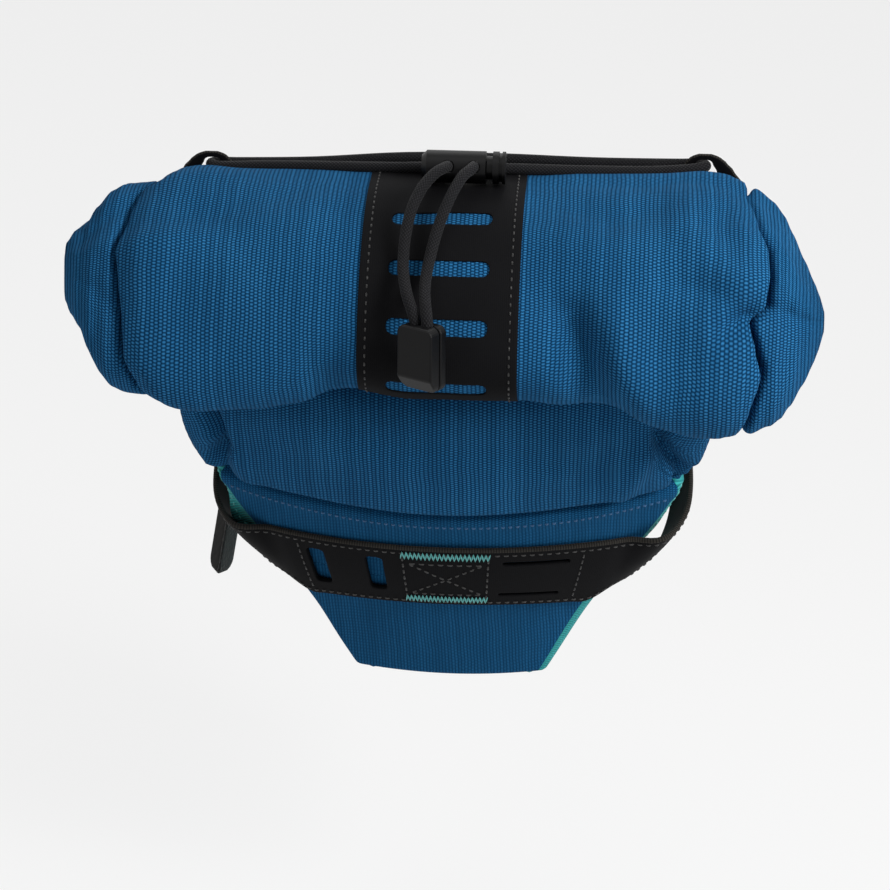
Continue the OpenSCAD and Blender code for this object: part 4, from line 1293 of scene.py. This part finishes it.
YOKE_W, YOKE_T, YOKE_GAP = 28.5, 1.8, 0.4
YOKE_TOP, YOKE_DROOP, YOKE_FLAT = 0.81, 0.07, 0.9
YOKE_LOW = YOKE_TOP - YOKE_W * math.cos(BACK_SLOPE) / BACK_H
# The yoke's two edges where they leave the rear panel and run forwards along the sides
UPPER_ARM = [(71, -150.5, 5), (76.5, -143, 7), (79.8, -134, 12.5), (79.5, -121, 23), (75.5, -109, 38)]
LOWER_ARM = [(53, -137.5, -18.5), (61.5, -131.5, -14.5), (70.3, -123.5, -8), (74.5, -112.5, 3.5),
             (73, -99.5, 18.5)]


def yoke_edge(k, arm):
    half = []
    for i in range(9):
        q = YOKE_FLAT * i / 8
        half.append(back_point(level(k - YOKE_DROOP * q * q), q))
    half += [Vector(p) for p in arm]
    whole = [Vector((-p.x, p.y, p.z)) for p in reversed(half)] + half[1:]
    return resample(spline(whole, 8), 241)


YOKE_UPPER, YOKE_LOWER = yoke_edge(YOKE_TOP, UPPER_ARM), yoke_edge(YOKE_LOW, LOWER_ARM)
YOKE_MIDDLE = [a.lerp(b, 0.5) for a, b in zip(YOKE_UPPER, YOKE_LOWER)]
YOKE_HALF = run_lengths(YOKE_MIDDLE)[-1] / 2


def yoke_place(u, v, lift=YOKE_GAP + YOKE_T):
    """u is the distance along the strap from its middle, v the distance up from its lower edge."""
    last = len(YOKE_MIDDLE) - 1
    place = (u + YOKE_HALF) / (2 * YOKE_HALF) * last
    i = max(0, min(last - 1, math.floor(place)))
    low = YOKE_LOWER[i].lerp(YOKE_LOWER[i + 1], place - i)
    high = YOKE_UPPER[i].lerp(YOKE_UPPER[i + 1], place - i)
    j, k = max(i - 2, 0), min(i + 3, last)
    along = YOKE_UPPER[k] + YOKE_LOWER[k] - YOKE_UPPER[j] - YOKE_LOWER[j]
    normal = along.cross(high - low).normalized()
    crown = 0.5 * math.sin(math.pi * clamp(v / YOKE_W))
    return low.lerp(high, v / YOKE_W) + normal * (lift + crown), normal


def yoke_line(points, lift=YOKE_GAP + YOKE_T):
    out = []
    for (u0, v0), (u1, v1) in zip(points, points[1:]):
        n = max(1, round(math.hypot(u1 - u0, v1 - v0) / 2))
        out += [yoke_place(mix(u0, u1, i / n), mix(v0, v1, i / n), lift) for i in range(n)]
    return out + [yoke_place(*points[-1], lift)]


def zigzag(u0, u1, v, width, pitch):
    n = round((u1 - u0) / pitch * 2)
    return [(mix(u0, u1, i / n), v + (width / 2 if i % 2 else -width / 2)) for i in range(n + 1)]


def make_yoke():
    middle, slit = YOKE_W / 2 + 0.8, YOKE_W - 6
    slots = [(-43, middle, 6.2, 17, 1.6), (-23, middle, 5.8, 17, 1.6), (29, slit, 22, 2.0, 0.8),
             (28, 6, 21, 1.7, 0.7)]
    us = steps(-YOKE_HALF, YOKE_HALF, 0.9)
    strap = cut_sheet("yoke_strap_sheet", us, steps(0, YOKE_W, 0.75), slots, yoke_place, BLACK, YOKE_T)
    worn(strap, "bag", "laminate", "yoke_strap")
    inset = YOKE_HALF - 6
    rows = [yoke_line([(-inset, v), (inset, v)]) for v in (YOKE_W - 1.6, 1.6)]
    rows += [yoke_line([(u, 3), (u, YOKE_W - 3)]) for u in (-48.5, -13.5, 13.5, 44)]
    rows += [yoke_line([(-12, low), (12, high)]) for low, high in ((6, 22), (22, 6), (6, 6), (22, 22))]
    worn(stitches("yoke_stitching", rows, THREAD_BLACK, length=2.2, gap=0.7, radius=0.3), "bag", "laminate")
    for name, v in (("lower_zigzag", 3.2), ("upper_zigzag", YOKE_W - 2.4)):
        line = [p for p, _ in yoke_line(zigzag(-14, 14, v, 3.2, 1.3), YOKE_GAP + YOKE_T + 0.25)]
        worn(tube(name, line, 0.3, THREAD_TEAL, sides=6), "bag", "laminate")
    line = [p for p, _ in yoke_line([(-YOKE_HALF, YOKE_W), (YOKE_HALF, YOKE_W)], YOKE_GAP + YOKE_T / 2)]
    worn(tube("yoke_upper_edge", line, 0.95, EDGE, sides=10), "bag", "laminate")


make_yoke()

# ---- Rail straps, seatpost strap and the hanging strap end ----

RAIL_X, RAIL_Y, RAIL_Z = 22.0, -72.0, 95.0
RAIL_R, LOOP_T = 3.6, 1.6
# The front and back edges of a rail strap, from the yoke's arm to the rail
STRAP_FRONT = [(72.4, -99.5, 20), (68.3, -91.5, 40), (64, -84, 60), (60.5, -75, 77), (53, -66, 89.5),
               (41, -62, 95), (26.2, -62, 95)]
STRAP_BACK = [(75.2, -114, 33), (72.8, -106.5, 53), (69, -101, 70), (64, -94, 84), (54.5, -85, 93),
              (41, -82, 95), (26.2, -82, 95)]
STRAP_W = 20
# Places across a strap, and how far its rounded edges drop there
ACROSS = (0, 0.03, 0.1, 0.3, 0.5, 0.7, 0.9, 0.97, 1)
EDGE_DROP = [0.25 * (1 - math.sin(math.pi * t) ** 0.3) for t in ACROSS]


def make_rail_strap(side):
    """Two layers of webbing from the yoke's arm to a loop round the rail."""
    name, flip = SIDE_NAME[side], Vector((side, 1, 1))
    front, back = ([p * flip for p in resample(spline(edge, 8), 70)] for edge in (STRAP_FRONT, STRAP_BACK))
    for layer, lift, nodes in (("outer", 0.0, [name + "_rail_strap"]), ("inner", -LOOP_T, [])):
        rows, uvs, run = [], [], 0.0
        for i, (a, b) in enumerate(zip(back, front)):
            j, k = max(i - 1, 0), min(i + 1, len(back) - 1)
            along = back[k] + front[k] - back[j] - front[j]
            normal = along.cross(b - a).normalized()
            outwards = normal.x * side if abs(normal.x) > 0.2 else normal.z
            if outwards < 0:
                normal = -normal
            run += along.length / 4 if i else 0
            rows.append([a.lerp(b, t) + normal * (lift - drop) for t, drop in zip(ACROSS, EDGE_DROP)])
            uvs.append([(STRAP_W * t, run) for t in ACROSS])
        piece = grid(name + "_rail_strap_" + layer, rows, WEBBING, uvs, 1.5, side > 0, 0.3)
        worn(piece, "bag", "webbing", *nodes)
    rows, uvs, r = [], [], RAIL_R + LOOP_T
    for a in steps(0, math.tau, math.tau / 40):
        across = steps(-STRAP_W / 2, STRAP_W / 2, 2.5)
        x, z = side * RAIL_X + r * math.cos(a), RAIL_Z + r * math.sin(a)
        rows.append([Vector((x, RAIL_Y + y, z)) for y in across])
        uvs.append([(y, a * r) for y in across])
    ring = grid(name + "_rail_loop", rows, WEBBING, uvs, LOOP_T, True, 0.2)
    worn(ring, "bag", "webbing")


def post_frame(x, y, z):
    """From the seatpost's own directions to the bag's."""
    return Vector((x, y * math.cos(LEAN) - z * math.sin(LEAN), y * math.sin(LEAN) + z * math.cos(LEAN)))


def make_seatpost_strap():
    half, leg = 12.5, POST_R + FRONT_GAP - 0.2
    for name, side, r in (("seatpost_strap_loop", -1, POST_R), ("seatpost_strap_hook", 1, POST_R + 2.3)):
        outer = r + 2
        if side < 0:
            curve = [(-outer - 12, -leg + 2), (-outer - 1, -leg + 2), (-outer, -leg + 3), (-outer, -2)]
            curve += arc((0, 0), outer, 180, 2, 36)
        else:
            curve = arc((0, 0), outer, 118, 0, 30) + [(outer, -2), (outer, -leg + 3), (outer + 1, -leg + 2),
                                                      (outer + 12, -leg + 2)]
        rows, uvs, run = [], [], 0.0
        for i, (x, y) in enumerate(curve):
            run += math.hypot(x - curve[i - 1][0], y - curve[i - 1][1]) if i else 0
            across = steps(-half, half, 2.5)
            rows.append([post_frame(x, y, z) for z in across])
            uvs.append([(z, run) for z in across])
        piece = grid(name + "_webbing", rows, WEBBING if side < 0 else LOOP, uvs, 1.9, rim_bevel=0.3)
        worn(piece, "bag", "webbing", name)
        x0, x1 = side * (outer + 2), side * (outer + 10)
        box = [(x0, -9), (x1, -9), (x1, 9), (x0, 9), (x0, -9), (x1, 9)], [(x0, 9), (x1, -9)]
        back = post_frame(0, 1, 0)
        lines = [[(post_frame(x, -leg + 2.05, z), back) for x, z in line] for line in box]
        worn(stitches(name + "_stitching", lines, THREAD_BLACK, length=2.2, gap=0.7), "bag", "webbing")


TAIL_PIVOT = Vector((-78, -101, 10))
TAIL_TURN, TAIL_LEAN = math.radians(62), math.radians(9.5)
TAIL_L, TAIL_W, TAIL_T, TAIL_CORNER = 45.0, 18.0, 2.2, 4.0


def make_strap_end():
    """Free end of the left rail strap, creased along its middle; its right half carries loop tape."""
    drop = Vector((-math.sin(TAIL_LEAN), 0, -math.cos(TAIL_LEAN)))
    across = Vector((math.cos(TAIL_LEAN), 0, -math.sin(TAIL_LEAN)))

    def sheet(name, low, high, lift, thickness, material, slanted, nodes):
        rows, uvs = [], []
        for v in steps(0, TAIL_L - 0.2, 1.1):
            corner = max(0.0, v - (TAIL_L - TAIL_CORNER))
            reach = TAIL_W / 2 - TAIL_CORNER + math.sqrt(TAIL_CORNER ** 2 - corner ** 2)
            row, uv = [], []
            for t in steps(low, high, 0.1):
                u = t * reach
                fold = (math.hypot(u, 1) - 1) * math.sin(TAIL_TURN) - lift
                row.append(TAIL_PIVOT + across * u * math.cos(TAIL_TURN) + Vector((0, fold, 0)) + drop * v)
                uv.append((u + v, v - u) if slanted else (u, v))
            rows.append(row)
            uvs.append(uv)
        piece = grid(name, rows, material, uvs, thickness, True, 0.25)
        worn(piece, "strap_end", "webbing", *nodes)

    sheet("strap_end_webbing", -1, 1, 0.0, TAIL_T / 2, WEBBING, True, ["strap_tail"])
    sheet("strap_end_loop_tape", 0.1, 1, 0.9, 0.9, LOOP, False, [])


make_rail_strap(-1)
make_rail_strap(1)
make_seatpost_strap()
make_strap_end()
